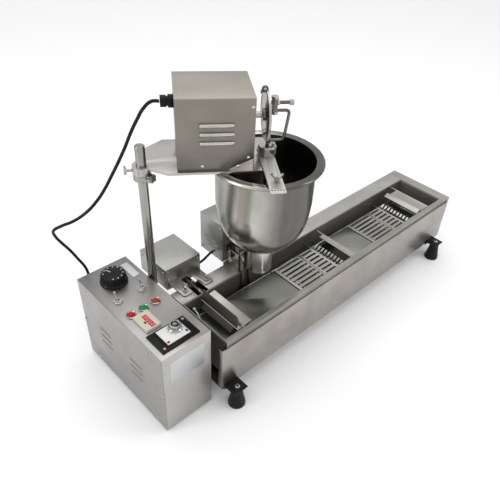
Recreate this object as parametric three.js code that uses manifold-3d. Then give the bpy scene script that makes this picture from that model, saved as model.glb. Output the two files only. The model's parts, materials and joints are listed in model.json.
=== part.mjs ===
// Automatic single-row donut maker: fryer trough with conveyor shafts and flippers, control box, and a
// depositor head with hopper on a post. Millimetres, +Z up. X runs along the trough towards the discharge
// end, Y towards the back. The working frame has its origin on the trough casing's front top left corner;
// the exported group moves it to the middle of the bottom.
import * as THREE from "three";
import { mergeVertices } from "three/addons/utils/BufferGeometryUtils.js";
import Module from "manifold-3d";

const wasm = await Module();
wasm.setup();

// ---- Driving dimensions ----
const GAP = 0.3; // between pieces that touch
const SHEET = 1.5; // folded steel sheet
const FLOOR_Z = -171.5;
const ORIGIN = [379.5, 149.1, FLOOR_Z]; // middle of the bottom

const TROUGH = { length: 900, width: 201, depth: 127, wall: 2, lip: 4, flange: 14 };
const RIM_Z = 16; // top of the pan rim, the deck and the right end
const PAN = { x0: 16, x1: 870, y0: 12.5, y1: 157, floor: -97, wall: 2.5, rimFront: 8.7 };
const DECK = { leftX0: 15, leftX1: 61, rightX0: 93 };
const TRAY = { y0: 17, y1: 131, top: -16, thickness: 3, slots: 8 };
const SHELF = { x0: 22, top: -26, thickness: 2, y1: 150 }; // the drop tray's lower left end
const RACK = { z: -22.8, railR: 2.5, ys: [29, 135.3], barR: 2.2 };
const RACK_BARS = [121, 277, 303, 365, 512, 566, 598, 665, 765];
const FLIP = { xs: [426, 726], z: -17.5, rodR: 2.5, leaf: 47, fingers: 9, fingerY0: 33 };
const SHAFT = { z: 10, radius: 3.5, thinR: 2.2, bladeT: 1.8 }; // the drive's shaft is thicker than the other two
const WHEEL = { x: 78, y0: 22, y1: 151 }; // three-bladed pusher at the left end, on the drive's shaft
const PADDLE = { x: 468.5, y0: 17.5, y1: 128, reach: 16.5, angle: 175, edgeR: 1.5 };
const SCOOP = { x: 813, y0: 20, y1: 131 };
const CROSS_SHAFTS = [
  [WHEEL.x, SHAFT.radius],
  [PADDLE.x, SHAFT.thinR],
  [SCOOP.x, SHAFT.thinR],
];

const FOOT = { radius: 20.5, neck: 12.5, xs: [25, 847], reach: 23 };
const BRACKET = { thickness: 3, halfWidth: 19.5, top: -115, bottom: -127, depth: 37, studR: 3 };

const BOX = { x0: -141, x1: -16, y0: 18.6, y1: 329.7, z0: -165.5, z1: 66.4, panel: 1.8 };
const PANEL_Z = BOX.z1 + GAP; // where the panel's own pieces stand
const BACK_GLAND = { x: -95, z: 8, radius: 9, length: 12 };

const DRIVE = { x0: 26.5, x1: 127.5, y0: 232, y1: 335, z0: 5, z1: 60 };
const EAR = { half: 13, corner: 6, xs: [46, 108], y: 185 };
const HEATER = { x0: 175, x1: 285, y0: 204, y1: 287, z0: 25, z1: 132 };
const ELEMENT = { radius: 4, riserX: 194, pitch: 22, z: -55, top: 62, rearY: 150, frontY: 52, left: 45, right: 840 };

const POST = { x: -4.5, y: 238.6, radius: 10, bottom: -92, top: 388 };
const CLAMP = { radius: 18.5, bore: POST.radius + GAP }; // collar and arm boss round the post
const COLLAR = { z0: 316, z1: 329 };
const ARM_ANGLE = -34.92; // degrees from +X, seen from above
const ARM = { bottom: 341, thickness: 5, front: -36, back: 101, end: 262 };
const ARM_TOP = ARM.bottom + ARM.thickness + GAP; // where the head's pieces stand
const MOTOR = { u0: 68, u1: 214.5, v0: -31.3, v1: 95, height: 145 };
const GLAND = { v: 10, z: 470, radius: 12, length: 24 };
const AXIS = { u: 249.8, v: 25.7 }; // hopper and plunger axis along and across the arm
const CRANK = { z: 433, radius: 50, u0: 241, u1: 245.5, shaftR: 6 };
const ROD = { u: 254, z: 457, pivotZ: 378, wire: 3.3 };
const STRAP = { u0: 233, u1: 263, v0: -120, v1: 50, thickness: 3.7 };
const BUSHING = { radius: 18.5, height: 17.7 };
const HOPPER = { rimZ: 340.7, rimR: 122, mouthR: 104, wall: 1.6, outletR: 19 };
const NECK = { top: 121, bottom: 46, topR: 30, endR: 28.5, bore: 18.5 };

// The head cord from the motor housing's gland to the one on the control box's back.
const CORD_R = 3.3;
const CORD_ROUTE = [
  [36.3, 222.3, 470],
  [24.9, 230.2, 469.6],
  [12, 238.5, 457],
  [0, 244, 437],
  [-10, 252, 413],
  [-21, 262, 380],
  [-35, 272, 346],
  [-49, 281, 316],
  [-64, 290, 286],
  [-80, 299, 261],
  [-100, 310, 238],
  [-124, 325, 219],
  [-146, 340, 208],
  [-157, 354, 194],
  [-153, 363, 173],
  [-143, 368, 150],
  [-127, 370, 119],
  [-111, 370, 82],
  [-99, 370, 52],
  [-95.5, 366, 27],
  [-95, 356, 13],
  [-95, 347, BACK_GLAND.z],
  [-95, 342, BACK_GLAND.z],
];

// ---- Solids ----
function solid(geometry) {
  const plain = geometry.index ? geometry.toNonIndexed() : geometry.clone();
  const bare = new THREE.BufferGeometry().setAttribute("position", plain.getAttribute("position"));
  const merged = mergeVertices(bare, 1e-3);
  return new wasm.Manifold(
    new wasm.Mesh({
      numProp: 3,
      vertProperties: new Float32Array(merged.attributes.position.array),
      triVerts: new Uint32Array(merged.index.array),
    }),
  );
}

function toGeometry(body) {
  const mesh = body.getMesh();
  const position = new Float32Array(mesh.numVert * 3);
  for (let i = 0; i < mesh.numVert; i++) {
    position.set(mesh.vertProperties.subarray(i * mesh.numProp, i * mesh.numProp + 3), i * 3);
  }
  const geometry = new THREE.BufferGeometry().setAttribute("position", new THREE.BufferAttribute(position, 3));
  geometry.setIndex(new THREE.BufferAttribute(new Uint32Array(mesh.triVerts), 1));
  const flat = geometry.toNonIndexed();
  flat.computeVertexNormals();
  return flat;
}

const join = (...bodies) => bodies.reduce((a, b) => a.add(b));
const cut = (body, ...tools) => tools.reduce((a, b) => a.subtract(b), body);

function block(x0, x1, y0, y1, z0, z1) {
  const geometry = new THREE.BoxGeometry(x1 - x0, y1 - y0, z1 - z0);
  geometry.translate((x0 + x1) / 2, (y0 + y1) / 2, (z0 + z1) / 2);
  return solid(geometry);
}

// A round bar from one point to another.
function bar(radius, from, to, sides = 16, endRadius = radius) {
  const a = new THREE.Vector3(...from);
  const b = new THREE.Vector3(...to);
  const geometry = new THREE.CylinderGeometry(endRadius, radius, a.distanceTo(b), sides);
  const turn = new THREE.Quaternion().setFromUnitVectors(
    new THREE.Vector3(0, 1, 0),
    b.clone().sub(a).normalize(),
  );
  geometry.applyQuaternion(turn);
  geometry.translate((a.x + b.x) / 2, (a.y + b.y) / 2, (a.z + b.z) / 2);
  return solid(geometry);
}

// A profile of [radius, height] points turned about a vertical axis.
function turned(profile, x, y, sides = 16) {
  const points = profile.map(([r, z]) => new THREE.Vector2(r, z));
  const geometry = new THREE.LatheGeometry(points, sides);
  geometry.rotateX(Math.PI / 2);
  geometry.translate(x, y, 0);
  return solid(geometry);
}

// A flat plate of an outline in XY, from z0 to z1.
function plate(outline, z0, z1) {
  const shape = outline instanceof THREE.Shape ? outline : new THREE.Shape(outline.map((p) => new THREE.Vector2(...p)));
  const geometry = new THREE.ExtrudeGeometry(shape, { depth: z1 - z0, bevelEnabled: false, curveSegments: 8 });
  geometry.translate(0, 0, z0);
  return solid(geometry);
}

// A path through given points, one ring of a tube at each.
class Route extends THREE.Curve {
  constructor(points) {
    super();
    this.points = points;
    this.last = points.length - 1;
  }
  getPointAt(u, target = new THREE.Vector3()) {
    return target.copy(this.points[Math.round(u * this.last)]);
  }
  getTangentAt(u, target = new THREE.Vector3()) {
    const i = Math.round(u * this.last);
    const before = this.points[Math.max(i - 1, 0)];
    const after = this.points[Math.min(i + 1, this.last)];
    return target.subVectors(after, before).normalize();
  }
}

// A polyline whose corners are rounded to a bend radius.
function bent(points, bend) {
  const corners = points.map((p) => new THREE.Vector3(...p));
  const along = [corners[0]];
  for (let i = 1; i < corners.length - 1; i++) {
    const enter = corners[i].clone().addScaledVector(corners[i - 1].clone().sub(corners[i]).normalize(), bend);
    const leave = corners[i].clone().addScaledVector(corners[i + 1].clone().sub(corners[i]).normalize(), bend);
    along.push(...new THREE.QuadraticBezierCurve3(enter, corners[i], leave).getPoints(4));
  }
  along.push(corners[corners.length - 1]);
  return new Route(along);
}

function smooth(points) {
  return new THREE.CatmullRomCurve3(points.map((p) => new THREE.Vector3(...p)), false, "centripetal");
}

// A tube of a round section along a path.
function tube(path, radius, steps, sides = 8) {
  const ring = Array.from({ length: sides }, (_, i) => {
    const angle = (i * 2 * Math.PI) / sides;
    return new THREE.Vector2(radius * Math.cos(angle), radius * Math.sin(angle));
  });
  const section = new THREE.Shape(ring);
  return solid(new THREE.ExtrudeGeometry(section, { steps, extrudePath: path, bevelEnabled: false }));
}

const bentTube = (points, bend, radius, sides) => {
  const path = bent(points, bend);
  return tube(path, radius, path.last, sides);
};

// A prism of an outline in XZ, from y0 to y1.
function prismXZ(outline, y0, y1) {
  const shape = new THREE.Shape(outline.map(([x, z]) => new THREE.Vector2(x, z)));
  const geometry = new THREE.ExtrudeGeometry(shape, { depth: y1 - y0, bevelEnabled: false });
  geometry.rotateX(Math.PI / 2);
  geometry.translate(0, y1, 0);
  return solid(geometry);
}

// ---- Materials ----
function material(color, roughness, metalness) {
  return new THREE.MeshStandardMaterial({ color, roughness, metalness });
}
const steel = () => material("#b9b5ad", 0.42, 1);
const darkSteel = () => material("#8d8a84", 0.4, 1);
const polished = () => material("#c9c7c2", 0.16, 1);
const chrome = () => material("#d8d8da", 0.08, 1);
const black = () => material("#151515", 0.6, 0);
const rubber = () => material("#1a1a1a", 0.85, 0);
const beige = () => material("#cfc8b4", 0.5, 0);

const machine = new THREE.Group();
const head = new THREE.Group();
head.position.set(POST.x, POST.y, 0);
head.rotation.z = THREE.MathUtils.degToRad(ARM_ANGLE);
machine.add(head);

function add(parent, name, body, look) {
  const mesh = new THREE.Mesh(body instanceof THREE.BufferGeometry ? body : toGeometry(body), look);
  mesh.name = name;
  parent.add(mesh);
  return mesh;
}

// ---- Trough ----
function troughCasing() {
  const { length, width, depth, wall, lip, flange } = TROUGH;
  const deckUnder = RIM_Z - SHEET;
  const shell = cut(
    block(0, length, 0, width, -depth, 0),
    block(-1, length - wall, wall, width - wall, -depth + wall, 1),
  );
  const frontLip = block(0, length, 0, lip, -SHEET, 0);
  const rightEnd = block(length - wall, length, 0, width, -wall, RIM_Z);
  const endCover = block(PAN.x1 + GAP, length, 0, width, deckUnder, RIM_Z);
  const rearWall = block(0, length, width - wall, width, -wall, deckUnder - GAP);
  const leftFlanges = join(
    block(0, SHEET, 0, flange, -depth, 0),
    block(0, SHEET, width - flange, width, -depth, deckUnder - GAP),
  );
  const { x } = WHEEL;
  const shaftNotch = block(x - 6, x + 6, width - wall - 1, width + 1, SHAFT.z - SHAFT.radius - 2, RIM_Z);
  return cut(join(shell, frontLip, rightEnd, endCover, rearWall, leftFlanges), shaftNotch);
}

function oilPan() {
  const { x0, x1, y0, y1, floor, wall, rimFront } = PAN;
  const tank = cut(
    block(x0, x1, y0, y1, floor, RIM_Z),
    block(x0 + wall, x1 - wall, y0 + wall, y1 - wall, floor + wall, RIM_Z + 1),
  );
  const rimTop = block(x0, x1, y0 - rimFront, y0 + 0.5, RIM_Z - wall, RIM_Z);
  const rimSkirt = block(x0, x1, y0 - rimFront, y0 - rimFront + wall, GAP, RIM_Z);
  const shaftHoles = CROSS_SHAFTS.map(([x, radius]) =>
    bar(radius + GAP, [x, y1 - wall - 1, SHAFT.z], [x, y1 + 1, SHAFT.z]),
  );
  const rodHoles = FLIP.xs.map((x) =>
    bar(FLIP.rodR + GAP, [x, y1 - wall - 1, FLIP.z], [x, y1 + 1, FLIP.z], 12),
  );
  return cut(join(tank, rimTop, rimSkirt), ...shaftHoles, ...rodHoles);
}

// The deck leaves a gap for the drive's shaft between its short left plate and its long right one.
function deckPlate(x0, x1) {
  return block(x0, x1, PAN.y1 + GAP, TROUGH.width, RIM_Z - SHEET, RIM_Z);
}

// ---- Trays ----
// Slots run along X, between x0 and x1.
function traySlots(x0, x1) {
  const pitch = (TRAY.y1 - TRAY.y0) / TRAY.slots;
  return Array.from({ length: TRAY.slots }, (_, i) => {
    const middle = TRAY.y0 + pitch * (i + 0.5);
    return block(x0, x1, middle - pitch * 0.21, middle + pitch * 0.21, TRAY.top - 20, TRAY.top + 1);
  });
}

function trayPlate(x0, x1) {
  return block(x0, x1, TRAY.y0, TRAY.y1, TRAY.top - TRAY.thickness, TRAY.top);
}

function gridTray(x0, x1) {
  return cut(trayPlate(x0, x1), ...traySlots(x0 + 9, x1 - 8));
}

// The left tray steps down at its left end to a shelf under the pusher wheel.
function dropTray(x0, x1) {
  const { top, thickness, y1 } = SHELF;
  const floor = top - thickness;
  const [front, rear] = RACK.ys;
  const step = block(x0, x0 + thickness, front + 4, rear - 4, floor, TRAY.top);
  const shelf = block(SHELF.x0, x0 + thickness, TRAY.y0, y1, floor, top);
  return join(trayPlate(x0, x1), step, shelf);
}

// Two rails along the pan and the cross bars that carry the trays.
function trayRack() {
  const x0 = PAN.x0 + PAN.wall + GAP;
  const x1 = PAN.x1 - PAN.wall - GAP;
  const rails = RACK.ys.map((y) => bar(RACK.railR, [x0, y, RACK.z], [x1, y, RACK.z], 8));
  const barZ = TRAY.top - TRAY.thickness - GAP - RACK.barR;
  const bars = RACK_BARS.map((x) => bar(RACK.barR, [x, RACK.ys[0], barZ], [x, RACK.ys[1], barZ], 6));
  return join(...rails, ...bars);
}

// A slotted leaf on a cross rod, with a row of upturned fingers behind it.
function flipper(x) {
  const { y1, top, thickness } = TRAY;
  const leaf = cut(trayPlate(x - FLIP.leaf, x), ...traySlots(x - FLIP.leaf + 4, x - 5));
  const rod = bar(FLIP.rodR, [x, PAN.y0 + PAN.wall + 1, FLIP.z], [x, PAN.y1 + 8, FLIP.z], 12);
  const pitch = (y1 - FLIP.fingerY0) / FLIP.fingers;
  const curl = [
    [x - 2, top - thickness],
    [x + 14, top - thickness],
    [x + 23, top + 5],
    [x + 20, top + 6.5],
    [x + 12, top],
    [x - 2, top],
  ];
  const fingers = Array.from({ length: FLIP.fingers }, (_, i) => {
    const middle = FLIP.fingerY0 + pitch * (i + 0.5);
    return prismXZ(curl, middle - 3, middle + 3);
  });
  return join(leaf, rod, ...fingers);
}

// ---- Cross shafts: pusher wheel, pusher paddle and discharge scoop ----
function crossShaft(x, rearEnd, radius) {
  return bar(radius, [x, PAN.y0 + PAN.wall + 1, SHAFT.z], [x, rearEnd, SHAFT.z]);
}

// A flat blade along the shaft, between two points given as [along X, up] from the shaft's axis.
function blade(x, from, to, y0, y1) {
  const half = SHAFT.bladeT / 2;
  const run = new THREE.Vector2(to[0] - from[0], to[1] - from[1]).normalize();
  const side = [-run.y * half, run.x * half];
  const corner = ([a, b], sign) => [x + a + sign * side[0], SHAFT.z + b + sign * side[1]];
  return prismXZ([corner(from, 1), corner(from, -1), corner(to, -1), corner(to, 1)], y0, y1);
}

// The wheel's upright web and lower flange share a fold in front of the shaft, and a blade runs back from it.
function pusherWheel() {
  const { x, y0, y1 } = WHEEL;
  const fold = [-13, -3.7];
  const web = cut(
    blade(x, fold, [-6.5, 24], y0 + 6, y1),
    bar(7, [x - 20, y0 + 4, SHAFT.z + 26], [x, y0 + 4, SHAFT.z + 26], 12),
  );
  const flange = blade(x, fold, [-24.5, -14.5], y0 + 14, y1 - 12);
  const backBlade = blade(x, fold, [27, 1], y0, y1);
  const foldEdge = bar(1.4, [x + fold[0], y0, SHAFT.z + fold[1]], [x + fold[0], y1, SHAFT.z + fold[1]], 8);
  const coupling = bar(5.5, [x, 166, SHAFT.z], [x, 178, SHAFT.z], 12);
  return join(crossShaft(x, DRIVE.y0 + 8.5, SHAFT.radius), web, flange, backBlade, foldEdge, coupling);
}

function pusherPaddle() {
  const { x, y0, y1, reach, angle, edgeR } = PADDLE;
  const turn = THREE.MathUtils.degToRad(angle);
  const tip = [reach * Math.cos(turn), reach * Math.sin(turn)];
  const edge = bar(edgeR, [x + tip[0], y0, SHAFT.z + tip[1]], [x + tip[0], y1, SHAFT.z + tip[1]], 8);
  return join(crossShaft(x, PAN.y1 + 10, SHAFT.thinR), blade(x, [0, 0], tip, y0, y1), edge);
}

// A flat leaf left of its shaft, with a ridge and a lip that slopes down at its free edge.
function dischargeScoop() {
  const { x, y0, y1 } = SCOOP;
  const leafEnd = [-34, -0.5];
  const ridge = [-43.5, 6.5];
  const leaf = blade(x, [0, 0], leafEnd, y0, y1);
  const rise = blade(x, leafEnd, ridge, y0, y1);
  const lip = blade(x, ridge, [-57, -0.5], y0, y1 + 4);
  return join(crossShaft(x, PAN.y1 + 10, SHAFT.thinR), leaf, rise, lip);
}

// ---- Drive behind the left end ----
const DRIVE_SHAFT_X = WHEEL.x;
const BASE = { z0: RIM_Z + GAP, z1: RIM_Z + GAP + 3, webY0: 229, webY1: DRIVE.y0 - GAP, slotX0: 63, slotX1: 92 };

function driveCover() {
  const { x0, x1, y0, y1, z0, z1 } = DRIVE;
  return cut(
    block(x0, x1, y0, y1, z0, z1),
    block(x0 + SHEET, x1 - SHEET, y0 + SHEET, y1 - SHEET, z0 - 1, z1 - SHEET),
    bar(SHAFT.radius + 2, [DRIVE_SHAFT_X, y0 - 1, SHAFT.z], [DRIVE_SHAFT_X, y0 + SHEET + 1, SHAFT.z]),
  );
}

// Folded plate: two rounded ears on the deck, an upright web with the shaft hole, and the drive's floor.
function driveBase() {
  const { z0, z1, webY0, webY1, slotX0, slotX1 } = BASE;
  const { half, corner } = EAR;
  const floorTop = DRIVE.z0 - GAP;
  const left = EAR.xs[0] - half;
  const right = EAR.xs[1] + half;
  const noseCorners = (x) =>
    [-1, 1].map((side) => {
      const at = [x + side * (half - corner), EAR.y - half + corner];
      return bar(corner, [...at, z0], [...at, z1], 16);
    });
  const ears = EAR.xs.map((x) =>
    join(
      ...noseCorners(x),
      block(x - half + corner, x + half - corner, EAR.y - half, webY1, z0, z1),
      block(x - half, x + half, EAR.y - half + corner, webY1, z0, z1),
      bar(3.5, [x, EAR.y, z1 - 1], [x, EAR.y, z1 + 9], 12),
      bar(6.5, [x, EAR.y, z1 - 1], [x, EAR.y, z1 + 5], 6),
    ),
  );
  const plateTop = cut(
    block(left, right, 198, webY1, z0, z1),
    block(slotX0, slotX1, 197, webY0 - 2.4, z0 - 1, z1 + 1),
  );
  const web = block(left, right, webY0, webY1, floorTop - 3, z1);
  const floor = block(DRIVE.x0, DRIVE.x1, webY0, DRIVE.y1, floorTop - 3, floorTop);
  const shaftHole = bar(SHAFT.radius + GAP, [DRIVE_SHAFT_X, webY0 - 1, SHAFT.z], [DRIVE_SHAFT_X, webY1 + 1, SHAFT.z]);
  return cut(join(...ears, plateTop, web, floor), shaftHole);
}

function driveBearing() {
  const y0 = 205;
  const y1 = BASE.webY0 - GAP - 2.4;
  return cut(
    block(DRIVE_SHAFT_X - 14, DRIVE_SHAFT_X + 10, y0, y1, 0, SHAFT.z + 2),
    bar(SHAFT.radius + GAP, [DRIVE_SHAFT_X, y0 - 1, SHAFT.z], [DRIVE_SHAFT_X, y1 + 1, SHAFT.z]),
  );
}

function driveMotor() {
  const x = DRIVE_SHAFT_X;
  const gearbox = block(x - 24, x + 24, DRIVE.y0 + 9, DRIVE.y0 + 44, DRIVE.z0 + GAP, 48);
  const can = bar(18, [x, DRIVE.y0 + 43, 27], [x, DRIVE.y1 - 10, 27], 24);
  return join(gearbox, can);
}

// ---- Heater ----
function heaterBox() {
  const { x0, x1, y0, y1, z0, z1 } = HEATER;
  return cut(
    block(x0, x1, y0, y1, z0, z1),
    block(x0 + SHEET, x1 - SHEET, y0 + SHEET, y1 - SHEET, z0 - 1, z1 - SHEET),
  );
}

// A guard with a gusset on the deck under the terminal box, and one tube bent down into the pan and round it.
function heatingElement() {
  const { radius, riserX, pitch, z, top, rearY, frontY, left, right } = ELEMENT;
  const y = HEATER.y0 - GAP;
  const secondX = riserX + pitch;
  const left0 = riserX - 8;
  const right0 = secondX + 12;
  const foot = RIM_Z + GAP;
  const shelf = block(left0, right0, PAN.y1 + 1, y, foot, foot + 2);
  const guard = block(left0, right0, PAN.y1 + 1, PAN.y1 + 3, foot, top + 24);
  const gussetOutline = [
    [PAN.y1 + 1, foot],
    [y, foot],
    [y, top - 8],
    [y - 6, top - 8],
  ];
  const gusset = plate(gussetOutline, left0, left0 + 2).rotate([90, 0, 90]);
  const screw = bar(4, [riserX - 4, y - 5, 44], [riserX - 4, y, 44], 12);
  const lug = block(left0, riserX + 4, y - 2, y, foot, top - 8);
  const route = [
    [riserX, y - 1, top],
    [riserX, rearY, top],
    [riserX, rearY, z],
    [left, rearY, z],
    [left, frontY, z],
    [right, frontY, z],
    [right, rearY, z],
    [secondX, rearY, z],
    [secondX, rearY, top],
    [secondX, y - 1, top],
  ];
  return join(shelf, guard, gusset, lug, screw, bentTube(route, 10, radius, 6));
}

function heaterLead() {
  const x0 = DRIVE.x1 + 2 * GAP;
  const x1 = HEATER.x0 - 2 * GAP;
  const path = smooth([
    [x1, 243, 33],
    [x1 - 4, 243, 32.9],
    [x1 - 15, 242.3, 29],
    [x0 + 15, 240.7, 24],
    [x0 + 4, 240, 23.1],
    [x0, 240, 23],
  ]);
  return tube(path, 3, 8, 8);
}

// The thermostat's sensor: a bulb on a bent capillary at the pan's left end.
function sensorCapillary() {
  const y = PAN.y1 - PAN.wall - GAP;
  const path = smooth([
    [38, y, -4],
    [38, y - 5, -4],
    [38, 138, -4],
    [35, 121, -8],
    [30, 112, -10],
    [25.5, 122, -9],
    [24.5, 140, -6],
    [25, y - 6, -4],
    [25, y - 0.4, -4],
  ]);
  const bulb = new THREE.SphereGeometry(6.5, 10, 6);
  bulb.translate(38, 144, -4);
  return join(tube(path, 2.5, 20, 6), solid(bulb));
}

// ---- Feet ----
// A short angle on the wall with the foot under its ledge; side is -1 on the front and 1 at the back.
function footBracket(x, side) {
  const { thickness, halfWidth, top, bottom, depth, studR } = BRACKET;
  const wall = side < 0 ? -GAP : TROUGH.width + GAP;
  const span = (a, b) => (side < 0 ? [wall - b, wall - a] : [wall + a, wall + b]);
  const footY = side < 0 ? -FOOT.reach : TROUGH.width + FOOT.reach;
  const leg = block(x - halfWidth, x + halfWidth, ...span(0, thickness), bottom, top);
  const ledge = block(x - halfWidth, x + halfWidth, ...span(0, depth), top - thickness, top);
  const screwHead = bar(6, [x, footY, top - 1], [x, footY, top + 4], 12);
  const stud = bar(studR, [x, footY, top - thickness - 12], [x, footY, top], 12);
  return join(leg, ledge, screwHead, stud);
}

function foot(x, side) {
  const y = side < 0 ? -FOOT.reach : TROUGH.width + FOOT.reach;
  const top = BRACKET.top - BRACKET.thickness - GAP;
  const legBottom = BRACKET.bottom;
  const body = [
    [0, FLOOR_Z],
    [FOOT.radius, FLOOR_Z],
    [FOOT.radius, FLOOR_Z + 6],
    [FOOT.neck + 4, FLOOR_Z + 24],
    [FOOT.neck + 1, legBottom - 2],
    [FOOT.neck, top],
    [0, top],
  ];
  return cut(turned(body, x, y), bar(BRACKET.studR + GAP, [x, y, top - 13], [x, y, top + 1], 12));
}

// ---- Control box ----
function controlBox() {
  const { x0, x1, y0, y1, z0, z1, panel } = BOX;
  const left = x0 + panel + GAP;
  const shell = cut(
    block(left, x1, y0, y1, z0, z1),
    block(left - 1, x1 - SHEET, y0 + SHEET, y1 - SHEET, z0 + SHEET, z1 - SHEET),
  );
  const inset = 18;
  const pads = [left + inset, x1 - inset].flatMap((x) =>
    [y0 + inset, y1 - inset].map((y) => bar(9, [x, y, FLOOR_Z], [x, y, z0 + 0.5], 16)),
  );
  const { x, z, radius, length } = BACK_GLAND;
  const gland = bar(radius, [x, y1 - 0.5, z], [x, y1 + length, z], 16);
  return join(shell, ...pads, gland);
}

// Two groups of three level louvre slots.
function controlSidePanel() {
  const { x0, y0, y1, z0, z1, panel } = BOX;
  const slots = [236, 119].flatMap((y) =>
    [-31, -52, -73].map((z) => block(x0 - 1, x0 + panel + 1, y - 21, y + 21, z - 1.5, z + 1.5)),
  );
  return cut(block(x0, x0 + panel, y0, y1, z0, z1), ...slots);
}

function thermostatKnob() {
  const z = PANEL_Z;
  const profile = [
    [0, z],
    [31, z],
    [31, z + 3],
    [28, z + 6],
    [26.5, z + 15],
    [25, z + 22.3],
    [0, z + 22.3],
  ];
  return turned(profile, -82, 273, 28);
}

const SWITCH = { places: [{ x: -50, y: 212 }, { x: -112, y: 211 }], pivot: PANEL_Z + 3, lean: 25, length: 20 };

function switchBezel({ x, y }) {
  const nut = bar(10.5, [x, y, PANEL_Z], [x, y, PANEL_Z + 3], 6);
  const bush = bar(6.8, [x, y, PANEL_Z + 1], [x, y, PANEL_Z + 6.5], 16);
  const bore = bar(3, [x, y, PANEL_Z + 0.8], [x, y, PANEL_Z + 7], 16, 4.8);
  return cut(join(nut, bush), bore);
}

function switchLever({ x, y }) {
  const { pivot, lean, length } = SWITCH;
  const angle = THREE.MathUtils.degToRad(lean);
  const at = (distance) => [x, y + distance * Math.sin(angle), pivot + distance * Math.cos(angle)];
  const ball = new THREE.SphereGeometry(1.8, 8, 6);
  ball.translate(...at(0));
  const tip = new THREE.SphereGeometry(3, 8, 6);
  tip.translate(...at(length));
  return join(solid(ball), bar(1.5, at(0), at(length), 8, 2.5), solid(tip));
}

function lamp(x, y) {
  const z = PANEL_Z;
  const profile = [
    [0, z],
    [11.5, z],
    [11.5, z + 3],
    [10, z + 5],
    [8, z + 5],
    [7, z + 6.5],
    [0, z + 8],
  ];
  return turned(profile, x, y);
}

function meterCase() {
  const top = PANEL_Z + 9;
  return cut(block(-119, -83, 94.5, 144.5, PANEL_Z, top), block(-104.5, -94, 97.5, 134, top - 1, top + 1));
}

function timerFrame() {
  return cut(block(-127, -35, 29, 87, PANEL_Z, PANEL_Z + 4), block(-106, -50, 40, 85, PANEL_Z + 3, PANEL_Z + 5));
}

function timerDial() {
  const z = PANEL_Z + 3 + GAP;
  const profile = [
    [0, z],
    [15, z],
    [15, z + 2],
    [12, z + 4],
    [10.5, z + 12],
    [0, z + 12],
  ];
  return turned(profile, -68.6, 69, 20);
}

// ---- Post, collar and arm. From here on, places are along (u) and across (v) the arm, from the post ----
function post() {
  const { radius, bottom, top } = POST;
  const profile = [
    [0, bottom],
    [radius, bottom],
    [radius, top - 1.5],
    [radius - 1.5, top],
    [0, top],
  ];
  return turned(profile, POST.x, POST.y, 24);
}

function postBracket() {
  const hole = bar(CLAMP.bore, [POST.x, POST.y, -100], [POST.x, POST.y, -30], 24);
  return cut(block(BOX.x1 + GAP, 22, TROUGH.width + GAP, 252, -89.7, -40), hole);
}

function ring(outer, bore, z0, z1) {
  return cut(bar(outer, [0, 0, z0], [0, 0, z1], 24), bar(bore, [0, 0, z0 - 1], [0, 0, z1 + 1], 24));
}

function heightCollar() {
  const { z0, z1 } = COLLAR;
  const { radius, bore } = CLAMP;
  const middle = (z0 + z1) / 2;
  const lug = cut(
    block(radius - 3, radius + 9, -7, 7, z0, z1),
    block(bore - 1, radius + 10, -1, 1, z0 - 1, z1 + 1),
  );
  const slit = block(bore - 1, radius + 1, -1, 1, z0 - 1, z1 + 1);
  const bolt = join(
    bar(2.5, [radius + 4, -8, middle], [radius + 4, 10, middle], 12),
    bar(4.5, [radius + 4, -12, middle], [radius + 4, -6.5, middle], 12),
  );
  return join(cut(ring(radius, bore, z0, z1), slit), lug, bolt);
}

function armPlate() {
  const { bottom, thickness, front, back, end } = ARM;
  const { radius, bore } = CLAMP;
  const outline = new THREE.Shape();
  outline.moveTo(12.7, -radius + 4.5);
  outline.lineTo(50, front);
  outline.lineTo(end, front);
  outline.lineTo(end, back);
  outline.lineTo(41, back);
  outline.lineTo(9, 70);
  outline.lineTo(-14, 12);
  outline.absarc(0, 0, radius, 2.43, 5.45, false);
  const flat = plate(outline, bottom, bottom + thickness);
  const boss = bar(radius, [0, 0, COLLAR.z1 + GAP], [0, 0, bottom + 1], 32);
  const postHole = bar(bore, [0, 0, COLLAR.z1 - 1], [0, 0, bottom + thickness + 1], 24);
  const rodHole = bar(9, [AXIS.u, AXIS.v, bottom - 1], [AXIS.u, AXIS.v, bottom + thickness + 1], 16);
  const screwHole = bar(3 + GAP, [-radius - 2, 0, 335], [-bore + 1, 0, 335], 12);
  return cut(join(flat, boss), postHole, rodHole, screwHole);
}

function thumbscrew() {
  const z = 335;
  const stem = bar(3, [-33, 0, z], [-POST.radius - 2 * GAP, 0, z], 12);
  const wing = join(bar(2.6, [-32, 0, z - 9], [-32, 0, z + 9], 12), bar(4, [-34, 0, z], [-29, 0, z], 12));
  return join(stem, wing);
}

// ---- Depositor head ----
function motorCover() {
  const { u0, u1, v0, v1, height } = MOTOR;
  const top = ARM_TOP + height;
  const slots = [438, 420.5, 402.5].map((z) => block(111, 171.6, v0 - 1, v0 + SHEET + 1, z - 2, z + 2));
  return cut(
    block(u0, u1, v0, v1, ARM_TOP, top),
    block(u0 + SHEET, u1 - SHEET, v0 + SHEET, v1 - SHEET, ARM_TOP - 1, top - SHEET),
    bar(CRANK.shaftR + 1, [u1 - SHEET - 1, AXIS.v, CRANK.z], [u1 + 1, AXIS.v, CRANK.z], 20),
    bar(5, [u0 - 1, GLAND.v, GLAND.z], [u0 + SHEET + 1, GLAND.v, GLAND.z], 12),
    ...slots,
  );
}

function depositorMotor() {
  const { v } = AXIS;
  const stand = block(140, 205, v - 28, v + 28, ARM_TOP, CRANK.z - 34);
  const gearbox = block(150, 205, v - 28, v + 28, CRANK.z - 35, CRANK.z + 30);
  const can = bar(27, [84, v, CRANK.z], [151, v, CRANK.z], 24);
  return join(stand, gearbox, can);
}

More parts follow.
